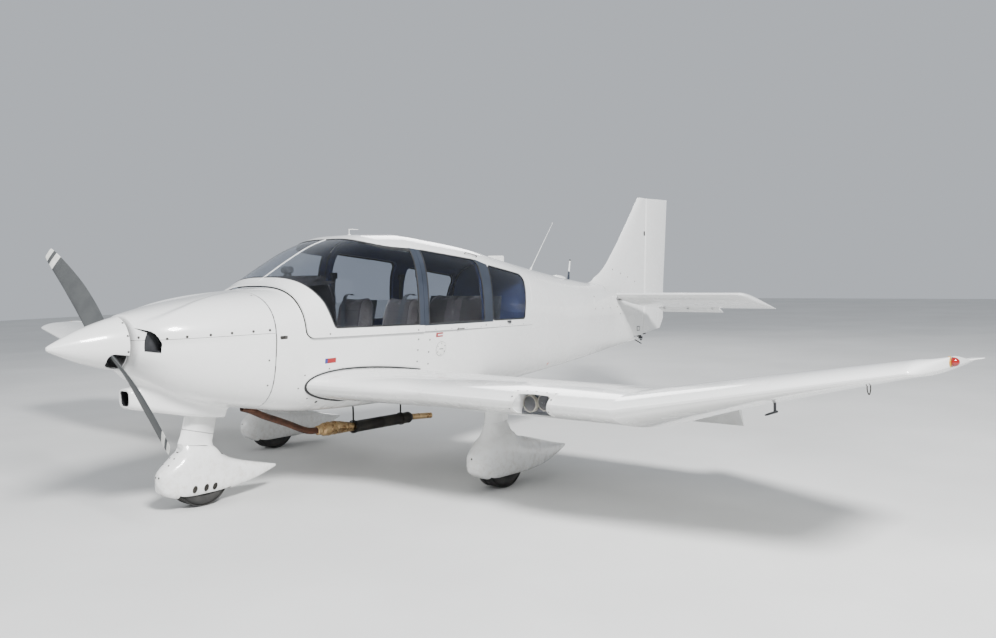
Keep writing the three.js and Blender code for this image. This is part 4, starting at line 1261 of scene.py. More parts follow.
def root_seal(side, word):
    """The black strip between the wing's nose and the fuselage."""
    stations = ("root", "strake")
    strip = wing_slab(420, 640, 9.5, stations)
    minus(strip, wing_slab(400, 660, -2, stations))
    common(strip, body_shell(7, -1, 1300, 2700, 16))
    common(strip, side_bar([(1350, 500), (2230, 500), (2500, 730), (2520, 1000), (1350, 1000)], 0, FAR))
    if side < 0:
        flipped(strip)
    piece(strip, f"root_seal_{word}", SEAL, slot="dark_trim")


LIGHT_OPENING = [(2014, 674), (2020, 693), (2030, 715), (2044, 738), (2052, 764), (2058, 777), (2115, 779),
                 (2158, 781), (2268, 778), (2289, 771), (2287, 742), (2276, 712), (2263, 685), (2256, 655),
                 (2012, 650)]
LIGHT_FLANGE = [(1987, 690), (2005, 713), (2015, 733), (2020, 761), (2008, 791), (2079, 793), (2174, 792),
                (2306, 791), (2314, 775), (2316, 760), (2313, 733), (2304, 702), (2278, 668), (2270, 640),
                (1985, 640)]
LIGHT_BACK = WING_FRONT + 84
LIGHT_SPAN = (1950, 2350)
LAMP_CENTRES = ((2093, 716), (2200, 731))


def light_slab(grow, wider=0):
    """The wing round the light opening, grown outwards, and wider along the span."""
    return wing_slab(LIGHT_SPAN[0] - wider, LIGHT_SPAN[1] + wider, grow, ("strake", "crank"))


def nose_slab(outer, inner):
    return minus(light_slab(outer), light_slab(inner, 20))


def fit_landing_lights(wing):
    """Two lamps in a recess of the nose, under a clear cover with a white flange."""
    front = WING_FRONT - 60
    minus(wing, front_bar(LIGHT_OPENING, front, LIGHT_BACK + 40))
    flange = common(nose_slab(2.6, -0.5), front_bar(LIGHT_FLANGE, front, LIGHT_BACK))
    minus(flange, front_bar(LIGHT_OPENING, front - 10, LIGHT_BACK + 10))
    piece(flange, "landing_light_flange", AERIAL_WHITE, slot="white_moulding", angle=26)
    cover = common(nose_slab(-0.4, -2.4), front_bar(grown_outline(LIGHT_OPENING, 2), front, LIGHT_BACK + 4))
    piece(cover, "landing_light_cover", LENS, slot="window_glass", angle=26)
    back = front_bar(grown_outline(LIGHT_OPENING, 4), LIGHT_BACK + 30, LIGHT_BACK + 34)
    common(back, light_slab(-3))
    piece(back, "landing_light_plate", LAMP_BACK, slot="dark_metal")
    rims, glasses = [], []
    for cx, cz in LAMP_CENTRES:
        centre = (cx, LIGHT_BACK - 4, cz)
        rims.append(lathe([(45, 5), (48, 5), (49.5, 8), (49.5, 30), (45, 30), (45, 5)], centre, "y", 48))
        glasses.append(lathe([(0.5, 2), (20, 3), (38, 6), (45.5, 10), (45.5, 14), (0.5, 8)],
                             centre, "y", 48))
    lamps = merged(rims)
    common(lamps, light_slab(-3))
    piece(lamps, "landing_lamp_rims", LAMP_RIM, slot="wheel_metal")
    faces = merged(glasses)
    common(faces, light_slab(-3))
    piece(faces, "landing_lamp_glasses", LAMP_FACE, slot="dark_metal")


TIP_START = 4180
TIP_WALL = 4272
TIP_FRONT = 2166
TIP_DEPTH = 486
TIP_LAMP = (2214, 1026)
TIP_TOP = ([0, 0.18, 0.36, 0.50, 0.65, 1], [1053, 1051, 1039, 1028, 1014.5, 1009])
TIP_BOTTOM = ([0, 1], [1003, 1004.5])


def tip_section(x, grow=0.0):
    """The blunt upright end of the wing, which thins quickly behind its lamp."""
    def place(u, side):
        front = math.sqrt(1 - (1 - min(u / 0.07, 1)) ** 2)
        high, low = float(np.interp(u, *TIP_TOP)), float(np.interp(u, *TIP_BOTTOM))
        return TIP_FRONT + u * TIP_DEPTH, (high + low) / 2 + side * max((high - low) / 2 * front, 0.6)
    outline = [place(u, 1) for u in WING_STEPS] + [place(u, -1) for u in WING_STEPS[:0:-1]]
    if grow:
        outline = grown_outline(outline, grow)
    return [(x, y, z) for y, z in outline]


def tip_rows():
    start, end = np.array(wing_section(wing_at(TIP_START))), np.array(tip_section(TIP_WALL))
    rows = []
    for a in np.linspace(0, math.pi / 2, 15):
        row = mix(start, end, math.sin(a) ** 2)
        row[:, 0] = mix(TIP_START, TIP_WALL, math.sin(a))
        rows.append([tuple(p) for p in row])
    return rows


def tip_horn():
    """The thin pointed corner behind the lamp."""
    rings = []
    for x, front, back, thick in ((4255, 2480, 2655, 5), (TIP_WALL, 2500, 2655, 5), (4292, 2560, 2652, 4),
                                  (4304, 2606, 2650, 3), (HALF_SPAN, 2632, 2648, 1.5)):
        ring = [(0, 0), (0.12, 0.8), (0.4, 1), (1, 0.15), (1, -0.15), (0.4, -1), (0.12, -0.8)]
        rings.append([(x, mix(front, back, u), 1009 + v * thick) for u, v in ring])
    return loft(rings)


def tip_lamp(side, word):
    """A coloured dome on the upright end, and a yellow strip round the end's front edge."""
    y, z = TIP_LAMP
    dome = lathe([(0.5, -3), (21, -3), (22, 1), (22, 8), (20, 17), (15.5, 25), (8.5, 31),
                  (0.5, 33)], (TIP_WALL, y, z), "x", 40)
    strip = loft([tip_section(x, 1.8) for x in (TIP_WALL - 10, TIP_WALL + 1.5)])
    common(strip, box(TIP_WALL - 20, TIP_WALL + 20, TIP_FRONT - 20, TIP_FRONT + 26, 900, 1100))
    socket = lathe([(0.5, -2), (23.5, -2), (23.5, 1.2), (22, 2), (0.5, 2)], (TIP_WALL, y, z), "x", 40)
    lens = RED_LENS if side > 0 else GREEN_LENS
    for part, name, finish, slot in ((dome, "tip_lamp", lens, "window_glass"),
                                     (strip, "tip_strip", YELLOW, "white_moulding"),
                                     (socket, "tip_socket", SEAL, "dark_trim")):
        if side < 0:
            flipped(part)
        piece(part, f"{name}_{word}", finish, slot=slot)


TIE_DOWN = (3890, 2220, 890)


def tie_down(side, word):
    x, y, z = TIE_DOWN
    x *= side
    bends = ((-5, 20), (-8, -12), (-4, -34), (2, -42), (7, -32), (9, -12), (8, 20))
    path = [(x + side * dx, y, z + dz) for dx, dz in bends]
    piece(tube(smooth_path(path, 5), 2.8, 12), f"tie_down_ring_{word}", SOOT_AND_SHADE, slot="dark_metal")


# Tail

RUDDER_EDGE = monotone(np.array([
    [700, 6728], [789, 6785], [850, 6828], [907, 6863], [1000, 6866], [1190, 6872], [1600, 6914],
    [FIN_TOP, 6979],
], float))
RUDDER_FOOT = [(6200, 600), (7000, 600), (7000, 815), (6785, 795), (6415, 762), (6200, 743)]


def build_rudder():
    rings = []
    for z in list(np.linspace(735, FIN_TOP - 40, 44)) + [FIN_TOP - 26, FIN_TOP - 18, FIN_TOP - 14]:
        edge = float(RUDDER_EDGE(z)[0])
        half = post_half(z) * math.sqrt(max(0.35, min(1.0, (FIN_TOP - 8 - z) / 20)))
        y = hinge_station(z)
        front = [(b, y + a) for a, b in arc(0, 0, half, 264, 96, 20)]
        rings.append([(a, b, z)
                      for a, b in front + [(2.5, edge - 1), (1, edge), (-1, edge), (-2.5, edge - 1)]])
    rudder = loft(rings)
    minus(rudder, side_bar(RUDDER_FOOT))
    piece(rudder, "rudder_skin", WHITE, body="rudder", replaces=("rudder",), slot="white_skin", angle=30)


STABILATOR = dict(pivot_y=5900, pivot_z=1160, front=-216, chord=750, root=150, tip=1545, down=13.3)
TAB = dict(chord=115, start=230, end=928, inset=18, down=13)


def turned_tail(obj):
    """Tilts a tailplane piece made about the pivot and moves it there."""
    points = in_millimetres(obj)
    a = math.radians(-STABILATOR["down"])
    y, z = points[:, 1].copy(), points[:, 2].copy()
    points[:, 1] = y * math.cos(a) - z * math.sin(a) + STABILATOR["pivot_y"]
    points[:, 2] = y * math.sin(a) + z * math.cos(a) + STABILATOR["pivot_z"]
    put_points(obj, metres(points))
    return obj


def build_tailplane():
    front, chord, root, tip = (STABILATOR[k] for k in ("front", "chord", "root", "tip"))
    steps = 0.97 * (0.5 - 0.5 * np.cos(np.linspace(0, math.pi, 30)))

    def section(x, nose_shift, scale):
        half = [max(half_thickness(u, 0.1 * scale), 0.003) * chord for u in steps]
        ring = [(u, h) for u, h in zip(steps, half)] + [(u, -h) for u, h in zip(steps[:0:-1], half[:0:-1])]
        return [(x, front + nose_shift + u * (chord - nose_shift), z) for u, z in ring]
    rows = [(x, 0, 1) for x in np.linspace(root, tip - 60, 9)]
    for s in np.sin(np.linspace(0, math.pi / 2, 9))[1:]:
        drop = 1 - math.sqrt(1 - s * s)
        rows.append((tip - 60 + 60 * s, 96 * drop, math.sqrt(max(0.10, 1 - 0.9 * s * s))))
    blade = loft([section(*row) for row in rows])
    hinge = front + chord - TAB["inset"]
    seat = loft([[(x, hinge + a, b) for a, b in [(-15, -60), (200, -60), (200, 60), (-15, 60)]]
                 for x in (TAB["start"] - 4, TAB["end"] + 4)])
    minus(blade, seat)
    other = mirrored(blade)
    cross_tube = tube([(x, 0, 0) for x in np.linspace(-root - 60, root + 60, 5)], 26, 32)
    piece(turned_tail(merged([blade, other])), "stabilator_skin", WHITE, body="stabilator",
          replaces=("stabilator",), slot="white_skin", angle=26)
    piece(turned_tail(cross_tube), "stabilator_tube", STEEL, body="stabilator", slot="steel")
    outline = arc(0, 0, 9, 80, 280, 12) + [(TAB["chord"] - 1, -2), (TAB["chord"], 0), (TAB["chord"] - 1, 2)]
    a = math.radians(-TAB["down"])
    for side, word in SIDES:
        rings = [[(side * x, hinge + y * math.cos(a) - z * math.sin(a), y * math.sin(a) + z * math.cos(a))
                  for y, z in outline] for x in np.linspace(TAB["start"], TAB["end"], 7)]
        piece(turned_tail(loft(rings)), f"anti_tab_skin_{word}", WHITE, body="anti_tab",
              replaces=(f"anti_tab_{word}",), slot="white_skin", angle=26)
    lug = rounded([(-24, -10), (12, -10), (12, -18), (-24, -16)], 3)
    hinges = []
    for side in (1, -1):
        for x in (300, 579, 858):
            hinges.append(loft([[(side * (x + w), hinge + y, z) for y, z in lug] for w in (-4, 4)]))
    piece(turned_tail(merged(hinges)), "tab_hinges", STEEL, body="stabilator", slot="steel")


# Landing gear
# distance behind the axle, bottom, top, half width
SPATS = {
    "nose": [
        [-302, 180, 208, 10], [-287, 134, 252, 48], [-245, 100, 294, 76], [-190, 80, 336, 94],
        [-139, 72, 378, 102], [-60, 68, 412, 105], [40, 68, 410, 105], [98, 70, 384, 103],
        [135, 72, 342, 100], [192, 76, 298, 92], [255, 82, 267, 82], [407, 104, 220, 56],
        [550, 138, 182, 24], [604, 152, 168, 6],
    ],
    "main": [
        [-302, 190, 226, 12], [-287, 146, 260, 48], [-245, 112, 298, 80], [-195, 88, 340, 98],
        [-150, 77, 372, 104], [-70, 70, 408, 107], [60, 70, 406, 107], [110, 70, 366, 105],
        [150, 71, 340, 102], [272, 74, 308, 90], [440, 88, 262, 66], [620, 128, 212, 34],
        [748, 163, 183, 6],
    ],
}


def spat(kind, x, axle_y):
    table = np.array(SPATS[kind], float)
    at = monotone(table)
    first, last = table[0, 0], table[-1, 0]
    nose_steps = first + (table[2, 0] - first) * np.linspace(0, 1, 9) ** 2
    rings = []
    for dy in list(nose_steps[:-1]) + list(np.linspace(table[2, 0], last, 68)):
        low, high, half = at(dy)
        lift, centre = (high - low) / 2, (high + low) / 2
        ring = []
        for a in np.linspace(0, 2 * math.pi, 56, endpoint=False):
            c, s = math.cos(a), math.sin(a)
            square = 0.5 if s < 0 else mix(0.86, 0.92, min(1, max(0, (dy - 100) / 300)))
            ring.append((x + math.copysign(abs(c) ** (square if s < 0 else 0.8), c) * half, axle_y + dy,
                         centre + math.copysign(abs(s) ** (square if s < 0 else 0.8), s) * lift))
        rings.append(ring)
    return loft(rings)


def tyre_well(x, axle_y, width, radius):
    """The room for the tyre inside its fairing, rounded like the tyre, and open below."""
    half = [(0.5, width), (radius - 48, width), (radius - 22, width - 9), (radius - 6, width - 26),
            (radius, width - 44)]
    profile = [(r, -u) for r, u in half] + half[::-1]
    well = lathe(profile, (x, axle_y, TYRE_RADIUS), "x", 72)
    inset = radius - 14
    return union(well, box(x - width, x + width, axle_y - inset, axle_y + inset, -60, TYRE_RADIUS - 40))


LEG_OUTLINE = [(-0.5, 0), (-0.485, 0.13), (-0.42, 0.31), (-0.32, 0.44), (-0.2, 0.5), (-0.05, 0.49),
               (0.12, 0.41), (0.3, 0.26), (0.44, 0.11), (0.5, 0.03), (0.5, -0.03), (0.44, -0.11),
               (0.3, -0.26), (0.12, -0.41), (-0.05, -0.49), (-0.2, -0.5), (-0.32, -0.44), (-0.42, -0.31),
               (-0.485, -0.13)]


def faired_leg(x, rows, lean=0.0):
    outline = [(a, b) for a, b, _ in smooth_path([(a, b, 0) for a, b in LEG_OUTLINE], 3, True)]
    return loft([[(x + b * thick, centre + a * chord * math.cos(lean), z - a * chord * math.sin(lean))
                  for a, b in outline] for z, centre, chord, thick in rows])


# middles of the tread's grooves, as shares of the tyre's width
TREAD_GROOVES = (-0.36, -0.12, 0.12, 0.36)
BOLT_CIRCLE = 55


def tyre_and_wheel(x, y, body, kind, suffix=""):
    half = TYRE_WIDTH / 2
    inner = [(RIM_RADIUS + 2, -half * 0.60), (RIM_RADIUS + 8, -half * 0.74),
             (TYRE_RADIUS - 66, -half * 0.96), (TYRE_RADIUS - 44, -half), (TYRE_RADIUS - 26, -half * 0.95),
             (TYRE_RADIUS - 10, -half * 0.76), (TYRE_RADIUS - 3, -half * 0.58)]
    outside = [(r, u) for r, u, _ in smooth_path([(r, u, 0) for r, u in inner], 4)]
    tread = []
    for centre in TREAD_GROOVES:
        for shift, depth in ((-0.055, 0), (-0.04, 6), (0.04, 6), (0.055, 0)):
            tread.append((TYRE_RADIUS - depth, (centre + shift) * TYRE_WIDTH))
    profile = outside + tread + [(r, -u) for r, u in outside[::-1]]
    profile.append(profile[0])
    rubber = lathe(profile, (x, y, TYRE_RADIUS), "x", 96)
    piece(rubber, f"{kind}_tyre_rubber{suffix}", RUBBER, body=body, replaces=(f"{kind}_tyre{suffix}",),
          slot="tyre", angle=28)
    r = RIM_RADIUS
    half_rim = [(19.5, 44), (34, 44), (36, 36), (48, 24), (62, 22), (72, 30), (78, 42), (r + 5, 50),
                (r + 6, 46), (r - 2, 40), (r - 6, 26), (r - 8, 0)]
    rim = half_rim + [(a, -b) for a, b in half_rim[-2::-1]]
    rim.append(rim[0])
    wheel = lathe(rim, (x, y, TYRE_RADIUS), "x", 64)
    bolts = []
    for k in range(8):
        a = 2 * math.pi * (k + 0.5) / 8
        for side in (-1, 1):
            place = (x + side * 24, y + BOLT_CIRCLE * math.cos(a), TYRE_RADIUS + BOLT_CIRCLE * math.sin(a))
            bolts.append(lathe([(0, -5), (5.5, -5), (5.5, 5), (0, 5)], place, "x", 6))
    piece(merged([wheel] + bolts), f"{kind}_wheel_metal{suffix}", ALLOY, body=body,
          replaces=(f"{kind}_wheel{suffix}",), slot="wheel_metal", angle=28)


def fork_arms(x, axle_y, top_y, top_z, name, body):
    reach = TYRE_WIDTH / 2 + 6
    parts = []
    outline = [(axle_y - 30, 172), (axle_y - 18, 160), (axle_y + 18, 160), (axle_y + 30, 172),
               (top_y + 42, top_z), (top_y - 42, top_z)]
    for side in (1, -1):
        near, far = x + side * reach, x + side * (reach + 4)
        parts.append(side_bar(rounded(outline, 10), min(near, far), max(near, far)))
        cap = [(0, 0), (16, 0), (16, side * 5), (9, side * 6), (9, side * 11), (0, side * 11)]
        parts.append(lathe(cap, (x + side * (reach + 2), axle_y, TYRE_RADIUS), "x", 6))
    parts.append(tube([(x + dx, axle_y, TYRE_RADIUS) for dx in np.linspace(-reach - 2, reach + 2, 4)],
                      18, 32))
    piece(merged(parts), name, STEEL, body=body, slot="steel", angle=30)


STEER_LEAN = math.radians(15.5)


def steer_station(z):
    return 980 + (z - 570) * math.tan(STEER_LEAN)


def seam_ring(obj, outline, z, slope=0.0, high=2.0):
    """Cuts a fine seam round a leg at height z, falling to the rear by the slope."""
    middle = sum(y for _, y in outline) / len(outline)
    centre = sum(x for x, _ in outline) / len(outline)

    def ring(wide, long, lift):
        return [(centre + (x - centre) * wide, middle + (y - middle) * long,
                 z + lift - slope * (y - middle) * long)
                for x, y in outline]
    band = loft([ring(1.5, 1.4, lift) for lift in (-high, high)])
    return minus(obj, minus(band, loft([ring(0.965, 0.985, lift) for lift in (-high - 2, high + 2)])))


# height, distance ahead of the axle, chord, thickness
MAIN_LEG = ((360, 36, 268, 104), (402, 33, 258, 100), (440, 27, 240, 98), (475, 22, 229, 96),
            (500, 20, 225, 96), (560, 20, 225, 96), (620, 20, 225, 96), (700, 20, 225, 96))


def build_main_gear():
    top = 350
    for side, word in SIDES:
        x = side * HALF_TRACK
        shell = spat("main", x, MAIN_AXLE)
        leg = faired_leg(x, [(z, MAIN_AXLE - ahead, chord, thick) for z, ahead, chord, thick in MAIN_LEG])
        minus(leg, loft([wing_section(tuple([side * v[0]] + list(v[1:])), 0) for v in
                         (wing_at(HALF_TRACK - 300), wing_at(HALF_TRACK + 300))]))
        common(leg, box(x - 200, x + 200, 2200, 2800, 300, 655))
        union(shell, leg)
        soften(shell, 0.055, 28, lambda p: (p[:, 2] > 0.33) & (p[:, 2] < 0.47), 12)
        seam_ring(shell, [(x + b * 97, MAIN_AXLE - 25 + a * 235) for a, b in LEG_OUTLINE], 455)
        minus(shell, tyre_well(x, MAIN_AXLE, TYRE_WIDTH / 2 + 12, TYRE_RADIUS + 13))
        piece(shell, f"main_fairing_{word}", WHITE_GEAR,
              replaces=(f"main_wheel_fairing_{word}", f"main_leg_{word}"), slot="white_moulding", angle=30)
        fork_arms(x, MAIN_AXLE, MAIN_AXLE - 20, top, f"main_fork_{word}", "airframe")
        tyre_and_wheel(x, MAIN_AXLE, f"main_wheel_{word}", "main", f"_{word}")


def build_nose_gear():
    top = 350
    shell = spat("nose", 0, NOSE_AXLE)

    def rows(heights, flare=0):
        wider = [flare * max(0, 440 - z) for z in heights]
        return [(z, steer_station(z), 236 + w * 0.35, 96 + w * 0.1) for z, w in zip(heights, wider)]
    lower = faired_leg(0, rows((350, 380, 402, 420, 440, 460, 480), 1), STEER_LEAN)
    union(shell, lower)
    soften(shell, 0.045, 26, lambda p: (p[:, 2] > 0.32) & (p[:, 2] < 0.46), 12)
    seam_ring(shell, [(b * 100, steer_station(400) + a * 250) for a, b in LEG_OUTLINE], 400, 0.153)
    minus(shell, tyre_well(0, NOSE_AXLE, TYRE_WIDTH / 2 + 12, TYRE_RADIUS + 13))
    piece(shell, "nose_fairing", WHITE_GEAR, body="nose_gear", replaces=("nose_wheel_fairing", "nose_fork"),
          slot="white_moulding", angle=30)
    fork_arms(0, NOSE_AXLE, steer_station(top), top, "nose_fork_arms", "nose_gear")
    tyre_and_wheel(0, NOSE_AXLE, "nose_wheel", "nose")
    foot = 480 + 4 / math.cos(STEER_LEAN)
    upper = faired_leg(0, rows(np.linspace(foot, 700, 8)), STEER_LEAN)
    common(upper, box(-200, 200, 600, 1300, 400, 652))
    piece(upper, "nose_leg_fairing", WHITE_GEAR, replaces=("nose_leg",), slot="white_moulding", angle=30)


# Exhaust and tow hook

def build_exhaust():
    bend = smooth_path([(0, 1300, 592), (0, 1372, 566), (0, 1477, 514), (0, 1660, 438), (0, 1800, 374),
                        (0, 1868, 352), (0, 1945, 346)], 8)
    pipe = tube(bend, 24, 28)
    minus(pipe, tube(bend[:3], 20, 20))
    piece(pipe, "exhaust_pipe", RUST, slot="exhaust_metal", angle=35)
    swell = [(1930, 27), (1936, 34), (1944, 35), (1952, 33), (1958, 36), (1968, 37), (1974, 35), (1982, 44),
             (1996, 49), (2030, 50), (2036, 52.5), (2042, 50), (2088, 50), (2094, 52.5), (2100, 50),
             (2150, 47), (2200, 41), (2260, 35), (2285, 33)]

    def silencer_z(y):
        return float(np.interp(y, [1935, 2110, 2300, 2860, 2900, 3120], [345, 344, 322, 318, 317, 300]))

    def straight(rows, sides=40):
        return tube([(0, y, silencer_z(y)) for y, _ in rows], [r for _, r in rows], sides)
    piece(straight(swell), "exhaust_swell", BRASS, slot="exhaust_metal", angle=40)
    can = [(2284, 34), (2288, 44), (2298, 46), (2304, 44), (2560, 44), (2566, 45.5), (2572, 44), (2850, 44),
           (2858, 46), (2866, 44), (2884, 34), (2894, 27)]
    # The silencer's near-black is partly its own sooty colour and partly painted shade.
    piece(straight(can), "silencer", SOOT_AND_SHADE, slot="exhaust_metal", angle=40)
    tail_rows = [(2890, 26), (2960, 25), (3100, 24), (3120, 24.5)]
    tail = straight(tail_rows, 32)
    minus(tail, straight([(3000, 21), (3060, 21), (3140, 21)], 24))
    piece(tail, "exhaust_tail", BRASS, replaces=("exhaust",), slot="exhaust_metal", angle=40)
    parts = []
    for y, low in ((2285, 352), (2780, 362)):
        parts.append(tube([(0, y, low), (0, y + 2, 430), (0, y, 512)], 7, 12))
        parts.append(lathe([(46, -9), (50, -9), (50, 9), (46, 9), (46, -9)],
                           (0, y, silencer_z(y)), "y", 40))
    parts.append(box(-10, 10, 1398, 1404, 540, 612))
    piece(merged(parts), "exhaust_hangers", SOOT_AND_SHADE, slot="dark_metal", angle=35)


def build_tow_hook():
    ring = tube(smooth_path([(0, 6400 + 18 * math.cos(a), 702 + 18 * math.sin(a))
                             for a in np.linspace(0, 2 * math.pi, 13)], 3), 5.5, 14)
    plate = side_bar(rounded([(6296, 706), (6400, 706), (6404, 722), (6296, 726)], 6), -20, 20)
    clamp = side_bar(rounded([(6346, 706), (6386, 706), (6386, 748), (6346, 748)], 5), -13, 13)
    rod = tube([(0, 6300, 742), (0, 6360, 744), (0, 6474, 749), (0, 6486, 749.5)], [5.5, 5.5, 5.5, 8], 14)
    piece(merged([plate, ring, clamp, rod]), "tow_hook_metal", DARK_TRIM, replaces=("tow_hook",),
          slot="dark_metal", angle=35)
    stop = tube([(0, 6262, 702), (0, 6300, 687), (0, 6404, 645)], [6, 6, 5], 14)
    piece(stop, "tail_stop", SOOT_AND_SHADE, slot="dark_metal")
    lip = side_bar([(6070, 690), (6285, 708), (6300, 728), (6180, 726)], -34, 34)
    piece(lip, "tail_lip", WHITE, slot="white_moulding")


build_wing()
build_rudder()
build_tailplane()
build_main_gear()
build_nose_gear()
build_exhaust()
build_tow_hook()


# Cabin

def build_lining():
    lining = body_shell(-8, -20, FIREWALL + 16, CABIN_REAR - 22, 40, (24, 30))
    minus(lining, side_bar(canopy_outline(8)))
    upper = above_sill(-2)
    common(upper, box(-FAR, FAR, CANOPY_REAR + 1, 5000, 0, 2400))
    minus(lining, upper)
    piece(lining, "side_lining", LINING, slot="cabin_lining")
    room = body_solid(-21, FIREWALL + 16, CABIN_REAR - 22, 60, (24, 30))
    floor = box(-600, 600, FIREWALL + 20, CABIN_REAR - 24, 548, 556)
    common(floor, room, keep=True)
    piece(floor, "cabin_floor", CARPET, slot="cabin_lining")
    end = CABIN_REAR - 26
    shelf = side_bar(rounded([(3610, 1010), (end, 1010), (end, 1022), (3610, 1022)], 5))
    common(shelf, room, keep=True)
    piece(shelf, "rear_shelf", CARPET, slot="cabin_lining")
    build_hood(room)
    remove(room)
    for name, finish in (("rear_bulkhead", LINING), ("firewall", STEEL), ("engine_block", SOOT_AND_SHADE)):
        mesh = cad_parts[name].data
        mesh.materials.clear()
        mesh.materials.append(finish)


# x, height and radius of each dial
DIALS = [(x, z, 41) for z in (1350, 1250) for x in (330, 235, 140)]
DIALS += [(x, z, 29) for z in (1350, 1275) for x in (45, -30)]
DIALS += [(-330, 1330, 41), (-230, 1330, 29)]
NEEDLE_ANGLES = (60, 100, 140, 220)
RADIO_HEIGHTS = (1372, 1322, 1272, 1222)
COMPASS = (38, 1690, 1522)
# the coaming's upper line and the hump over the dials, from the side
HOOD = [(FIREWALL + 18, 1371), (1400, 1373), (1500, 1403), (1600, 1433), (1700, 1441), (1742, 1441),
        (1762, 1434), (1758, 1427), (1742, 1424)]
HOOD_UNDER = [(1600, 1411), (1500, 1377), (1400, 1343), (FIREWALL + 18, 1334)]
HUMP = [(1484, 1386), (1530, 1428), (1600, 1467), (1690, 1480), (1738, 1478), (1756, 1466), (1750, 1432)]
HUMP_UNDER = [(1600, 1421), (1500, 1391)]


def curved_bar(curve, straight, half):
    """A bar across the cabin, whose side outline is a curve closed by straight lines."""
    smooth_line = smooth_path([(y, z, 0) for y, z in curve], 5)
    return side_bar([(y, z) for y, z, _ in smooth_line] + straight, -half, half)


def panel_face(z):
    return 1702 + (z - 1001) * 16 / 418


def dial_mark(place, angle, outline, depths):
    """A thin plate on a dial, from (along, across) points turned by an angle in degrees."""
    x, y, z = place
    c, s = math.cos(math.radians(angle)), math.sin(math.radians(angle))
    return loft([[(x + c * d - s * w, y + e, z + s * d + c * w) for d, w in outline] for e in depths])


def build_hood(room):
    """Coaming with a padded lip, and the instrument panel with blank faced dials below it."""
    hood = curved_bar(HOOD, HOOD_UNDER, 600)
    hump = curved_bar(HUMP, HUMP_UNDER, 382)
    common(hood, room, keep=True)
    common(hump, room, keep=True)
    union(hood, hump)
    piece(hood, "coaming", COAMING, replaces=("instrument_hood",), slot="dark_trim")
    panel = side_bar([(1690, 1001), (1702, 1001), (1718, 1419), (1706, 1419)], -600, 600)
    common(panel, room, keep=True)
    piece(panel, "panel_board", COAMING, replaces=("instrument_panel",), slot="dark_trim")
    bezels, faces, marks = [], [], []
    for x, z, r in DIALS:
        place = (x, panel_face(z), z)
        rim = [(r, 0), (r + 5, 0), (r + 5, 5), (r + 2, 7), (r, 5), (r, 0)]
        bezels.append(lathe(rim, place, "y", 36))
        faces.append(lathe([(0.5, 0.5), (r + 1, 0.5), (r + 1, 2), (0.5, 2)], place, "y", 36))
        inner, outer = r * 0.76, r * 0.92
        tick = [(inner, -1), (outer, -1), (outer, 1), (inner, 1)]
        marks += [dial_mark(place, 30 * k, tick, (2, 2.6)) for k in range(12)]
        needle = [(-r * 0.15, -2), (r * 0.7, -0.8), (r * 0.7, 0.8), (-r * 0.15, 2)]
        marks.append(dial_mark(place, draw.choice(NEEDLE_ANGLES), needle, (3, 3.8)))
    piece(merged(bezels), "dial_bezels", DARK_TRIM, slot="dark_trim")
    piece(merged(faces), "dial_faces", DIAL, slot="dark_trim")
    piece(merged(marks), "dial_marks", PALE_PLATE, slot="dark_trim")
    radios = []
    for z in RADIO_HEIGHTS:
        y = panel_face(z)
        face = rounded([(-175, z - 21), (-75, z - 21), (-75, z + 21), (-175, z + 21)], 4)
        radios.append(front_bar(face, y - 1, y + 8))
        for x in (-166, -84):
            radios.append(lathe([(0.5, 8), (7, 8), (6, 20), (0.5, 20)], (x, y, z), "y", 16))
    radios += [lathe([(0.5, 0), (5, 0), (5, 45), (14, 47), (14, 60), (0.5, 62)], (x, 1707, 1150), "y", 20)
               for x in (-20, 20, 60)]
    piece(merged(radios), "radio_stack", DIAL, slot="dark_trim")
    build_compass()


def build_compass():
    x, y, z = COMPASS
    ball = lathe([(0.5, -24), (30, -24), (42, -16), (45, 0), (43, 14), (34, 25), (0.5, 29)], COMPASS, "z", 40)
    side = rounded([(-24, z - 50), (26, z - 50), (16, z - 18), (-14, z - 18)], 4)
    bracket = loft([[(x + across, y + a, b) for a, b in side] for across in (-18, 18)])
    knob = lathe([(0.5, 0), (15, 0), (15, 5), (11, 9), (0.5, 10)], (300, 1755, 1458), "y", 28)
    piece(merged([ball, bracket, knob]), "compass_ball", DARK_TRIM, slot="dark_trim")


def build_sticks():
    parts = []
    for x in (-SEAT_X, SEAT_X):
        stick = smooth_path([(x, 1960, 612), (x, 1925, 720), (x, 1885, 830), (x, 1860, 900)], 5)
        parts.append(tube(stick, 10.5, 20))
        grip = smooth_path([(x, 1861, 892), (x, 1852, 925), (x, 1840, 965), (x, 1828, 1005),
                            (x, 1820, 1030)], 4)
        radii = [14 + 3.2 * math.sin(t * 9) * 0.5 + 1.5 * t for t in np.linspace(0, 1, len(grip))]
        parts.append(tube(grip, radii, 24))
    parts.append(tube([(x, 1960, 616) for x in np.linspace(-SEAT_X, SEAT_X, 7)], 14, 24))
    piece(merged(parts), "control_stick_pair", DARK_TRIM, replaces=("control_sticks",),
          slot="dark_trim")


SEAT_X = 270
SEAT_PANEL = 118
BENCH_PANEL_X = 205
SEAT_SHELL = [(2060, 575), (2440, 575), (2490, 700), (2532, 850), (2640, 1270), (2626, 1276), (2500, 846),
              (2420, 782), (2070, 782), (2046, 760)]
BENCH_SHELL = [(3020, 575), (3420, 575), (3530, 860), (3590, 1270), (3572, 1272), (3400, 782), (3010, 782)]


def pad_rings(sections):
    """Rounded cross-sections: centre, the two half directions and how square each is."""
    rings = []
    for centre, across, deep, square in sections:
        centre, across, deep = (np.array(v, float) for v in (centre, across, deep))
        rings.append([centre + across * math.copysign(abs(math.cos(a)) ** square, math.cos(a))
                      + deep * math.copysign(abs(math.sin(a)) ** square, math.sin(a))
                      for a in np.linspace(0, 2 * math.pi, 40, endpoint=False)])
    return loft(rings)


VOXEL = 0.0075
CLOTH_FRAMES = 20


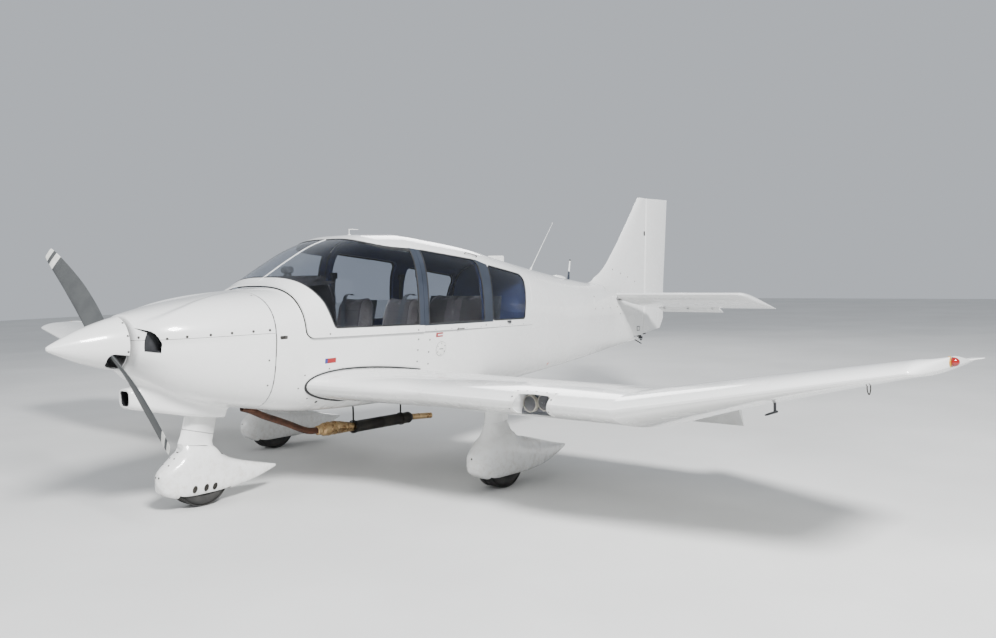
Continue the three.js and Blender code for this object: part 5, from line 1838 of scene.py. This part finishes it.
def inflate(obj, cap):
    """Remeshes a pad and lets it swell as filled cloth, with each point held within `cap` of its start."""
    remesh = obj.modifiers.new("remesh", "REMESH")
    remesh.mode = "VOXEL"
    remesh.voxel_size = VOXEL
    apply_modifiers(obj)
    start = mesh_arrays(obj)
    scene = bpy.context.scene
    cloth = obj.modifiers.new("cloth", "CLOTH")
    cloth.settings.use_pressure = True
    cloth.settings.uniform_pressure_force = 4.0
    cloth.settings.effector_weights.gravity = 0
    cloth.settings.quality = 6
    cloth.settings.tension_stiffness = 20
    cloth.settings.compression_stiffness = 20
    cloth.point_cache.frame_start = 1
    cloth.point_cache.frame_end = CLOTH_FRAMES
    for step in range(1, CLOTH_FRAMES + 1):
        scene.frame_set(step)
    apply_modifiers(obj)
    scene.frame_set(1)
    moved = mesh_arrays(obj) - start
    far = np.linalg.norm(moved, axis=1, keepdims=True)
    put_points(obj, start + moved * np.minimum(1, cap / np.maximum(far, 1e-9)))
    subdivide = obj.modifiers.new("subdivide", "SUBSURF")
    subdivide.levels = subdivide.render_levels = 1
    return apply_modifiers(obj)


def sewn(obj, centre_x, half_panel, seams, along):
    """Presses seams into a pad: two beside its middle panel and one at each given place along it."""
    points = mesh_arrays(obj)
    normals = triples(obj.data.vertices, "normal")
    offset = np.abs(points[:, 0] - centre_x / 1000) * 1000
    dent = 5.0 * np.exp(-((offset - half_panel) / 4.5) ** 2)
    travel = points @ np.array(along) * 1000
    for place in seams:
        dent = np.maximum(dent, 3.5 * np.exp(-((travel - place) / 4.5) ** 2) * (offset < half_panel))
    put_points(obj, points - normals * (dent / 1000)[:, None])
    return obj


def finish_pad(obj, name, panel_centres, replaces=()):
    """Finishes a pad as a piece with its two cloths, and paints the middle panels."""
    piece(obj, name, SEAT_SIDE, SEAT_MIDDLE, replaces=replaces, slot="seat_cloth", angle=60)
    for centre_x in panel_centres:
        paint_faces(obj, 1, lambda centres: np.abs(centres[:, 0] - centre_x) < SEAT_PANEL)


def seat_cushion_shape(centre_x, half, front, rear, low, high, rise):
    sections = []
    for t in np.linspace(0, 1, 15):
        y = mix(front, rear, t)
        top = mix(high, high - rise, t)
        bulge = math.sqrt(max(0.03, 1 - (2 * t - 1) ** 10))
        sections.append(((centre_x, y, (low + top) / 2), (half * (0.9 + 0.1 * bulge), 0, 0),
                         (0, 0, (top - low) / 2 * (0.35 + 0.65 * bulge)), 0.42))
    return pad_rings(sections)


def seat_back_shape(centre_x, half, foot, head, thick):
    (y0, z0), (y1, z1) = foot, head
    direction = np.array([0, y1 - y0, z1 - z0], float)
    direction /= np.linalg.norm(direction)
    deep = np.array([0, direction[2], -direction[1]])
    sections = []
    for t in np.linspace(0, 1, 19):
        narrow = 1 - 0.22 * max(0.0, (t - 0.55) / 0.45) ** 1.5
        close = math.sqrt(max(0.03, 1 - (2 * t - 1) ** 12))
        depth = thick / 2 * mix(1.08, 0.74, t) * (0.35 + 0.65 * close)
        sections.append(((centre_x, mix(y0, y1, t), mix(z0, z1, t)),
                         (half * narrow * (0.88 + 0.12 * close), 0, 0),
                         tuple(deep * depth), 0.45))
    return pad_rings(sections)


def build_seats():
    cushion = inflate(seat_cushion_shape(SEAT_X, 212, 2052, 2470, 778, 868, 26), 0.022)
    sewn(cushion, SEAT_X, SEAT_PANEL, [(y - LENGTH / 2) for y in (2150, 2270, 2390)], (0, 1, 0))
    back = inflate(seat_back_shape(SEAT_X, 216, (2508, 842), (2600, 1300), 96), 0.022)
    sewn(back, SEAT_X, SEAT_PANEL, (960, 1080, 1200), (0, 0, 1))
    for side, word in SIDES:
        for source, kind in ((cushion, "cushion"), (back, "back")):
            pad = copy_of(source) if side > 0 else mirrored(source)
            finish_pad(pad, f"front_{kind}_{word}", [side * SEAT_X],
                       replaces=(f"front_seat_{word}",) if kind == "cushion" else ())
        shell = side_bar(rounded(SEAT_SHELL, 16), side * SEAT_X - 190, side * SEAT_X + 190)
        piece(shell, f"front_seat_shell_{word}", DARK_TRIM, slot="dark_trim")
    remove(cushion, back)
    bench = inflate(seat_cushion_shape(0, 408, 3000, 3385, 778, 872, 26), 0.024)
    rest = inflate(seat_back_shape(0, 396, (3412, 850), (3528, 1294), 96), 0.024)
    for pad, name, swaps in ((bench, "bench_cushion", ("rear_seat",)), (rest, "bench_back", ())):
        points = mesh_arrays(pad)
        points[:, 2] -= np.exp(-(points[:, 0] / 0.006) ** 2) * 0.007
        put_points(pad, points)
        finish_pad(pad, name, (-BENCH_PANEL_X, BENCH_PANEL_X), swaps)
    piece(side_bar(rounded(BENCH_SHELL, 16), -400, 400), "bench_shell", DARK_TRIM, slot="dark_trim")


def strap(path, across, width, thick=1.6):
    """A flat strap along a path, its width in the direction `across`."""
    path = np.array(path, float)
    across = np.array(across, float)
    tangents = np.gradient(path, axis=0)
    rings = []
    for place, tangent in zip(path, tangents):
        tangent = tangent / np.linalg.norm(tangent)
        side = across - tangent * across.dot(tangent)
        side /= np.linalg.norm(side)
        out = np.cross(tangent, side)
        rings.append([place + side * a * width / 2 + out * b * thick / 2
                      for a, b in ((-1, -1), (1, -1), (1, 1), (-1, 1))])
    return loft(rings)


LAP_BELT = [(470, 2450, 905), (400, 2330, 905), (330, 2260, 896), (262, 2250, 892)]
SHOULDER_BELT = [(355, 2625, 1310), (350, 2585, 1322), (340, 2530, 1290), (322, 2490, 1150),
                 (296, 2458, 1010), (268, 2400, 905), (250, 2290, 895)]
# station, top, bottom and x of the straps that hang at the windows
HANGING_BELTS = ((2545, 1470, 1085, 492), (3270, 1440, 1075, 462))


def build_belts():
    straps, reels = [], []
    for side in (1, -1):
        for y, top, low, in_x in HANGING_BELTS:
            bends = [(-8, 0, top), (4, -6, top - 120), (10, 4, (top + low) / 2), (12, -4, low + 90),
                     (10, 0, low)]
            hang = smooth_path([(side * (in_x + dx), y + dy, z) for dx, dy, z in bends], 6)
            straps.append(strap(hang, (0, 1, 0.12), 42))
            x0, x1 = side * (in_x - 20), side * (in_x + 4)
            reel = rounded([(x0, top - 24), (x1, top - 24), (x1, top + 26), (x0, top + 26)], 8)
            reels.append(front_bar(reel, y - 26, y + 26))
        lap = smooth_path([(side * x, y, z) for x, y, z in LAP_BELT], 8)
        straps.append(strap(lap, (0.3 * side, 1, 0), 44))
        shoulder = smooth_path([(side * x, y, z) for x, y, z in SHOULDER_BELT], 6)
        straps.append(strap(shoulder, (1, 0, 0), 44))
    piece(merged(straps), "seat_belts", WEBBING, slot="seat_cloth")
    piece(merged(reels), "belt_reels", DARK_TRIM, slot="dark_trim")


# Small fittings, placed by where the photograph shows them on the surface that carries them

CAMERA_PLACE = (5.515, -5.949, 1.511)
CAMERA_TURN = math.radians(40.405)
CAMERA_TILT = math.radians(-3.124)
CAMERA_ROLL = math.radians(-1.312)
FOCAL_PIXELS = 952.72
IMAGE_WIDTH = 996
IMAGE_HEIGHT = 638


def camera_axes():
    ahead = Vector((-math.sin(CAMERA_TURN) * math.cos(CAMERA_TILT),
                    math.cos(CAMERA_TURN) * math.cos(CAMERA_TILT), math.sin(CAMERA_TILT)))
    right = Vector((math.cos(CAMERA_TURN), math.sin(CAMERA_TURN), 0))
    up = right.cross(ahead)
    return (math.cos(CAMERA_ROLL) * right + math.sin(CAMERA_ROLL) * up,
            -math.sin(CAMERA_ROLL) * right + math.cos(CAMERA_ROLL) * up, ahead)


TREES = {}


def tree_of(name):
    if name not in TREES:
        mesh = bpy.data.objects[name].data
        points = [v.co for v in mesh.vertices]
        TREES[name] = BVHTree.FromPolygons(points, [tuple(p.vertices) for p in mesh.polygons])
    return TREES[name]


def seen(name, px, py):
    """Where the sight line through a pixel of the photograph meets a piece, and its normal there."""
    right, up, ahead = camera_axes()
    u, v = (px - IMAGE_WIDTH / 2) / FOCAL_PIXELS, (py - IMAGE_HEIGHT / 2) / FOCAL_PIXELS
    aim = ahead + right * u - up * v
    place, normal, _, _ = tree_of(name).ray_cast(Vector(CAMERA_PLACE), aim.normalized())
    if place is None:
        raise RuntimeError(f"no surface of {name} at pixel {px}, {py}")
    return place, normal


def cast(name, start, direction):
    """Where a line from a point (mm, station) first meets a piece, and its normal there."""
    place, normal, _, _ = tree_of(name).ray_cast(Vector(metres(start)), Vector(direction))
    return place, normal


def placed(profile, outline, place, normal, turn=0.0):
    """Rings of an outline (mm) at (scale, height) steps, standing on a surface."""
    normal = Vector(normal).normalized()
    side = normal.cross(Vector((0, 0, 1)))
    side = side.normalized() if side.length > 0.05 else Vector((1, 0, 0))
    over = side.cross(normal)
    rings = []
    for scale, height in profile:
        ring = []
        for a, b in outline:
            u = a * math.cos(turn) - b * math.sin(turn)
            v = a * math.sin(turn) + b * math.cos(turn)
            ring.append(Vector(place) + (side * u * scale + over * v * scale + normal * height) / 1000)
        rings.append(ring)
    return loft(np.array(rings) * 1000 + np.array([0, LENGTH / 2, 0]))


def circle(radius, sides=16):
    return arc(0, 0, radius, 0, 360 - 360 / sides, sides - 1)


def on_side(vector, side):
    """The vector itself for the left side (1), and its mirror image for the right side (-1)."""
    return Vector((vector[0] * side, vector[1], vector[2]))


# (scale, height) steps of a head
SCREW_HEAD = [(1.0, -2.0), (1.0, 0.5), (0.8, 1.0), (0.42, 1.05), (0.36, 0.35), (0.05, 0.3)]


def screws(name, body, places, radius=5.0, both=False):
    """Screw heads with a sunk middle, standing just proud of their panel."""
    heads = []
    for place, normal in places:
        for side in (1, -1) if both else (1,):
            heads.append(placed(SCREW_HEAD, circle(radius), on_side(place, side), on_side(normal, side)))
    piece(merged(heads), name, SCREW, body=body, slot="steel", angle=35)


# piece, body, radius (mm), and each piece that carries some of them with their pixels in the photograph
SCREWS = (
    ("cowl_split_screws", "airframe", 8.5,
     [("cowl_top", [(187.2, 336.9), (210.8, 335.0), (232.1, 333.1), (253.5, 331.5), (270.0, 330.2)])]),
    ("cowl_edge_screws", "airframe", 6.0,
     [("cowl_bottom", [(269.3, 360.5), (267.6, 385.5)]), ("cowl_top", [(251.3, 295.4)])]),
    ("cowl_nose_latch", "airframe", 10.0, [("cowl_bottom", [(138.3, 339.8)])]),
    ("side_screws", "airframe", 6.5,
     [("fuselage_skin", [(418.7, 339.3), (429.9, 339.8), (417.9, 350.0), (428.6, 351.9), (417.1, 361.5),
                         (428.0, 363.7)])]),
    ("canopy_sill_screws", "canopy", 6.0, [("canopy_shell", [(330.4, 334.0), (418.7, 329.9)])]),
    ("roof_sill_screws", "airframe", 6.0, [("roof_skin", [(486.2, 324.9)])]),
    ("root_screws", "airframe", 5.5,
     [("fuselage_skin", [(329.4, 368.6), (342.8, 368.6), (360.3, 367.2), (377.9, 368.1), (394.5, 369.4),
                         (411.4, 370.6), (305.0, 375.4), (298.2, 388.5), (306.9, 398.5)])]),
    ("root_bolt", "airframe", 11.0, [("fuselage_skin", [(315.9, 401.9)])]),
    ("fin_screws", "airframe", 6.5,
     [("fuselage_skin", [(612.6, 269.4), (620.5, 273.3), (627.6, 277.0), (634.6, 281.4), (595.4, 308.8),
                         (602.9, 308.2), (610.3, 307.7), (617.7, 306.7), (593.8, 296.6), (620.7, 313.6)])]),
    ("nose_fairing_screw", "nose_gear", 7.0, [("nose_fairing", [(158.8, 478.4)])]),
    ("main_fairing_screw", "airframe", 7.0, [("main_fairing_left", [(471.6, 459.3)])]),
    ("nose_fairing_screws", "nose_gear", 6.0,
     [("nose_fairing", [(177.6, 452.9), (174.2, 458.9), (168.6, 465.8)])]),
    ("inlet_screws", "airframe", 8.0, [("cowl_top", [(138.6, 337.6), (167.2, 338.9)])]),
)
SPINNER_SCREWS = [(122.5, 323.0), (127.8, 336.0), (128.6, 352.0)]
LIGHT_SCREWS = [(512.3, 396.7), (518.2, 391.0), (527.4, 391.3), (536.7, 392.0), (547.1, 393.2),
                (556.0, 394.3), (551.3, 400.3), (548.5, 411.8), (509.7, 408.2)]
ROOF_SCREW_STATIONS = (2620, 2800, 2980, 3160, 3420, 3600, 3780)

# Single fittings on the left side, by their pixels in the photograph
TUB_LATCH = (284.1, 337.5)
WINDOW_CATCH = (508.9, 321.6)
VENT_CATCH = (458.0, 328.8)
FILLER = (441.0, 348.7)
PLATES = [(330.6, 360.6, 92, 34), (439.6, 334.7, 76, 33)]
WARNING_MARK = (547.5, 363.9)
NOSE_HOLES = [(195.2, 489.6), (206.6, 487.5), (215.2, 486.0)]
RUDDER_BRACKET = (644.2, 233.5)
POST_PLATE = (638.3, 328.4)
ROOF_HANDLE = [(465.0, 254.2), (475.5, 257.2)]

# Outlines and (scale, height) steps of those fittings, in millimetres
WARNING_OUTLINE = [(-13, 14), (13, 14), (3, -18), (-3, -18)]
FILLER_CAP = [(1, -1), (1, 2), (0.97, 2.6), (0.64, 2.6), (0.63, 1.4), (0.6, 1.4), (0.59, 3.4), (0.1, 3.6)]
GROMMET = [(1, -2), (1, 1.2), (0.88, 1.8), (0.74, 1.2), (0.7, 0.3), (0.05, 0.4)]
# part, finish, length and height as shares of the plate, lift, shift aft as a share of its length
PLATE_PARTS = (("plate", RED_PLATE, 1, 1, 0.45, 0), ("plate_line", PALE_PLATE, 0.75, 0.34, 0.7, 0.12),
               ("plate_end", BLUE_PLATE, 0.22, 1, 0.75, -0.39))


def build_screws():
    for name, body, radius, carriers in SCREWS:
        screws(name, body, [seen(carrier, *p) for carrier, pixels in carriers for p in pixels],
               radius, True)
    light = [seen("inner_wing_skin_left", *p) for p in LIGHT_SCREWS]
    screws("light_cover_screws", "airframe",
           [(place + normal * 0.0026, normal) for place, normal in light], 5.5)
    axis, half_turn = Vector((0, 0, SPINNER_HEIGHT / 1000)), Vector((-1, 1, -1))
    around = []
    for place, normal in (seen("spinner_shell", *p) for p in SPINNER_SCREWS):
        around += [(place, normal), ((place - axis) * half_turn + axis, normal * half_turn)]
    screws("spinner_screws", "propeller", around, 6.5)
    edge = [cast("roof_skin", (5000, y, sill_height(y) + 14), (-1, 0, 0)) for y in ROOF_SCREW_STATIONS]
    screws("roof_edge_screws", "airframe", edge, 3.6, True)


def rectangle(wide, high, radius):
    corners = ((-1, -1), (1, -1), (1, 1), (-1, 1))
    return rounded([(a * wide / 2, b * high / 2) for a, b in corners], radius)


def build_fittings():
    for side, word in SIDES:
        def spot(carrier, pixel):
            return tuple(on_side(vector, side) for vector in seen(carrier, *pixel))

        def add(name, finish, slot, *shapes, body="airframe"):
            piece(merged([placed(*shape) for shape in shapes]), f"{name}_{word}", finish,
                  body=body, slot=slot)
        at = spot("fuselage_skin", TUB_LATCH)
        add("tub_latch", SCREW, "dark_metal",
            ([(1, -2), (1, 1.2), (0.92, 1.8), (0.8, 1.8), (0.74, 0.7)], rectangle(52, 22, 7), *at))
        at = spot("roof_skin", WINDOW_CATCH)
        add("window_catch", DARK_TRIM, "dark_trim",
            ([(1, -2), (1, 9), (0.9, 13), (0.5, 14)], rectangle(48, 15, 6), *at, side * 0.08),
            ([(1, 8), (1, 17), (0.8, 19)], circle(11, 20), *at))
        place, normal = spot("roof_skin", VENT_CATCH)
        behind = place + Vector((0, 0.045, 0))
        add("sill_catch", SCREW, "dark_metal",
            ([(1, -2), (1, 3), (0.9, 4)], rectangle(62, 5, 2), behind, normal),
            ([(1, -2), (1, 6), (0.8, 7)], rectangle(10, 16, 3), place, normal, 0.5))
        at = spot("fuselage_skin", WARNING_MARK)
        add("tail_mark", ORANGE, "white_moulding", ([(1, -1), (1, 0.5)], WARNING_OUTLINE, *at))
        for k, (px, py, wide, high) in enumerate(PLATES):
            place, normal = spot("fuselage_skin", (px, py))
            for part, finish, length, height, lift, shift in PLATE_PARTS:
                middle = place + Vector((0, 0.001, 0)) * (wide * shift)
                add(f"side_{part}_{k + 1}", finish, "white_moulding",
                    ([(1, -1), (1, lift)], rectangle(wide * length, high * height, 1.5), middle, normal))
        place, normal = spot("fuselage_skin", FILLER)
        add("filler_edge", SCREW, "dark_metal", ([(1, -1), (1, 0.7)], circle(56, 48), place, normal))
        add("filler_cap", AERIAL_WHITE, "white_moulding", (FILLER_CAP, circle(54, 48), place, normal))
        add("filler_slot", SCREW, "dark_metal",
            ([(1, 2), (1, 4.2), (0.9, 5)], rectangle(44, 5, 2), place, normal))
        hits = []
        for a in np.radians(np.arange(30, 390, 60)):
            outer = place + Vector((0, math.cos(a), math.sin(a))) * 0.044
            hits.append(tree_of("fuselage_skin").ray_cast(outer + normal * 0.1, -normal)[:2])
        add("filler_screws", SCREW, "steel",
            *((SCREW_HEAD, circle(4.5, 12), at + up * 0.0025, up) for at, up in hits))
        oval = [(a, b * 1.45) for a, b in circle(17, 28)]
        add("nose_fairing_grommets", SOOT_AND_SHADE, "dark_metal",
            *((GROMMET, oval, *spot("nose_fairing", pixel), 0.25) for pixel in NOSE_HOLES),
            body="nose_gear")
        at = spot("fuselage_skin", RUDDER_BRACKET)
        add("rudder_bracket", SOOT_AND_SHADE, "dark_metal",
            ([(1, -3), (1, 3), (0.8, 4.5)], rectangle(22, 46, 5), *at))
        at = spot("fuselage_skin", POST_PLATE)
        add("post_plate_edge", GREY_POST, "dark_metal", ([(1, -1), (1, 0.8)], rectangle(60, 48, 3), *at))
        add("post_plate", AERIAL_WHITE, "white_moulding", ([(1, -1), (1, 1.4)], rectangle(42, 33, 2), *at))


TEE_STATION = 2302
ROOF_RECEIVER_STATION = 2680
TAIL_AERIAL_STATION = 5084
TAIL_RECEIVER_STATION = 4935
WHIP_FOOT = 4480
WHIP_TIP = (0, 4840, 1917)
WHIP_RADIUS = 3.8
# across and along, as shares of a thin blade's thickness and depth
BLADE_OUTLINE = [(0, 0), (0.05, 0.55), (0.2, 1), (0.55, 0.85), (1, 0.08), (1, -0.08), (0.55, -0.85),
                 (0.2, -1), (0.05, -0.55)]


def height_of(name, y):
    """How high a piece's top is on the middle line."""
    return cast(name, (0, y, 3000), (0, 0, -1))[0][2] * 1000


def receiver(name, y, base, slope, half):
    """A flat oval cap along the middle line, with its half width, half length and half height."""
    sections = []
    for d in np.linspace(-0.99, 0.99, 15):
        share = math.sqrt(max(0.02, 1 - d * d))
        sections.append(((0, y + d * half[1], base - slope * d), (half[0] * share, 0, 0),
                         (0, 0, half[2] * share), 0.9))
    piece(pad_rings(sections), name, AERIAL_WHITE, slot="white_moulding")


def build_aerials():
    y = TEE_STATION
    top = height_of("canopy_shell", y)
    mast = tube([(0, y, top - 2), (0, y, top + 20), (0, y + 1, top + 46)], [4.5, 3.2, 2.6], 16)
    foot = lathe([(0.5, -3), (17, -3), (15, 3), (6, 8), (0.5, 9)], (0, y, top), "z", 28)
    cross = tube([(0, y - 4, top + 45), (0, y + 38, top + 46), (0, y + 90, top + 45)], [2.8, 2.8, 1.8], 14)
    piece(merged([mast, foot, cross]), "tee_aerial", AERIAL_WHITE, body="canopy", slot="white_moulding")
    y = ROOF_RECEIVER_STATION
    receiver("roof_receiver", y, height_of("roof_skin", y) + 4, 0, (40, 62, 17))
    rings = []
    for t in np.linspace(0, 1, 10):
        y0, y1 = mix(3800, 3900, t), mix(4108, 4112 - 10 * max(0.0, t - 0.8) * 5, t)
        z = mix(1540, 1612, t)
        thick = mix(9, 5, t) * math.sqrt(max(0.1, 1 - max(0, (t - 0.85) / 0.16) ** 2))
        rings.append([(thick * v, mix(y0, y1, u), z - 18 * u * (1 - t)) for u, v in BLADE_OUTLINE])
    piece(loft(rings), "blade_aerial", AERIAL_WHITE, slot="white_moulding")
    y = TAIL_AERIAL_STATION
    base = height_of("fuselage_skin", y)
    lower = loft([[(b * 14 * s, y + dy + a * 46 * s, z) for a, b in LEG_OUTLINE]
                  for dy, z, s in ((0, base - 8, 1), (6, base + 40, 0.78), (12, base + 84, 0.55))])
    piece(lower, "tail_aerial_foot", GREY_POST, slot="dark_metal")
    upper = tube([(0, y + 12, base + 80), (0, y + 22, base + 130), (0, y + 32, base + 186)],
                 [9, 8, 6.5], 16)
    piece(upper, "tail_aerial", AERIAL_WHITE, slot="white_moulding")
    tip = tube([(0, y + 32, base + 184), (0, y + 33, base + 192), (0, y + 35, base + 198)], [7.5, 8, 5], 16)
    piece(tip, "tail_aerial_tip", SEAL, slot="dark_trim")
    y = TAIL_RECEIVER_STATION
    receiver("tail_receiver", y, height_of("fuselage_skin", y) + 2, 15, (44, 95, 22))
    build_whip()
    build_roof_grips()


def build_whip():
    """A thin rod that leans aft, with a conical foot and a knob at its tip."""
    start = np.array([0, WHIP_FOOT, height_of("fuselage_skin", WHIP_FOOT) - 2.0])
    end, radius = np.array(WHIP_TIP), WHIP_RADIUS
    share = np.linspace(0, 1, 9)
    path = [start + (end - start) * t + np.array([0, 6, 0]) * t * t for t in share]
    whip = tube(path, [mix(radius, radius * 0.45, t) for t in share], 14)
    along = (end - start) / np.linalg.norm(end - start)
    foot = tube([start - along * 4, start + along * 20, start + along * 52], [18, 11, radius + 1.5], 24)
    knob = tube([end - along * 6, end, end + along * 5], [radius * 0.5, radius * 1.1, radius * 0.6], 12)
    piece(merged([whip, foot, knob]), "white_whip", AERIAL_WHITE, slot="white_moulding")


def build_roof_grips():
    places = [np.array(seen("roof_skin", *p)[0]) * 1000 + np.array([0, LENGTH / 2, 0]) for p in ROOF_HANDLE]
    lift = np.array([7, 0, 12])
    path = smooth_path([places[0], places[0] + lift, places[1] + lift, places[1]], 5)
    grips = [tube([(side * x, y, z) for x, y, z in path], 3.4, 12) for side in (1, -1)]
    piece(merged(grips), "roof_grips", SCREW, slot="dark_metal")


PITOT_PLACE = (3400, 2236)


def build_pitot():
    x, y = PITOT_PLACE
    under = cast("outer_wing_skin_left", (x, y, 0), (0, 0, 1))[0][2] * 1000
    mast = loft([[(x + b * 7, y + a * 34, z) for a, b in LEG_OUTLINE] for z in (under + 6, under - 46)])
    head = tube([(x, y + dy, under - 48) for dy in (-118, -100, 24, 34)], [3.5, 6, 7, 3], 18)
    piece(merged([mast, head]), "pitot_head", DARK_TRIM, slot="dark_metal")


build_lining()
build_sticks()
build_seats()
build_belts()
build_screws()
build_fittings()
build_aerials()
build_pitot()


# Stage

def build_stage():
    corners = [(-30000, -26000, 0), (30000, -26000, 0), (30000, 34000, 0), (-30000, 34000, 0)]
    floor = object_from(corners, [(0, 1, 2, 3)], name="floor")
    floor.data.materials.append(surface("pale_floor", (0.60, 0.60, 0.59), (0.66, 0.66, 0.65),
                                        0.6, (0.75, 0.9)))
    world = bpy.data.worlds.new("studio")
    world.use_nodes = True
    background = world.node_tree.nodes["Background"]
    background.inputs["Color"].default_value = (0.80, 0.85, 0.92, 1)
    background.inputs["Strength"].default_value = 0.66
    bpy.context.scene.world = world
    # name, place, aim, size, watts
    lamps = [
        ("key", (9.5, -5.5, 9.0), (0, -0.4, 0.8), 3.0, 3800),
        ("fill", (-4.0, -9.0, 4.5), (0, -1.5, 0.9), 6.0, 300),
        ("back", (-6.0, 7.5, 6.5), (0, 1.5, 1.0), 5.0, 420),
    ]
    for name, place, aim, size, watts in lamps:
        light = bpy.data.lights.new(name, "AREA")
        light.shape = "DISK"
        light.size = size
        light.energy = watts
        lamp = bpy.data.objects.new(name, light)
        lamp.location = place
        lamp.rotation_euler = (Vector(aim) - Vector(place)).to_track_quat("-Z", "Y").to_euler()
        bpy.context.collection.objects.link(lamp)


def build_camera():
    right, up, ahead = camera_axes()
    lens = bpy.data.cameras.new("camera")
    lens.sensor_width = 36
    lens.lens = 36 * FOCAL_PIXELS / IMAGE_WIDTH
    lens.clip_end = 200
    camera = bpy.data.objects.new("camera", lens)
    turn = Matrix((right, up, -ahead)).transposed().to_4x4()
    camera.matrix_world = Matrix.Translation(CAMERA_PLACE) @ turn
    bpy.context.collection.objects.link(camera)
    bpy.context.scene.camera = camera


build_camera()
build_stage()
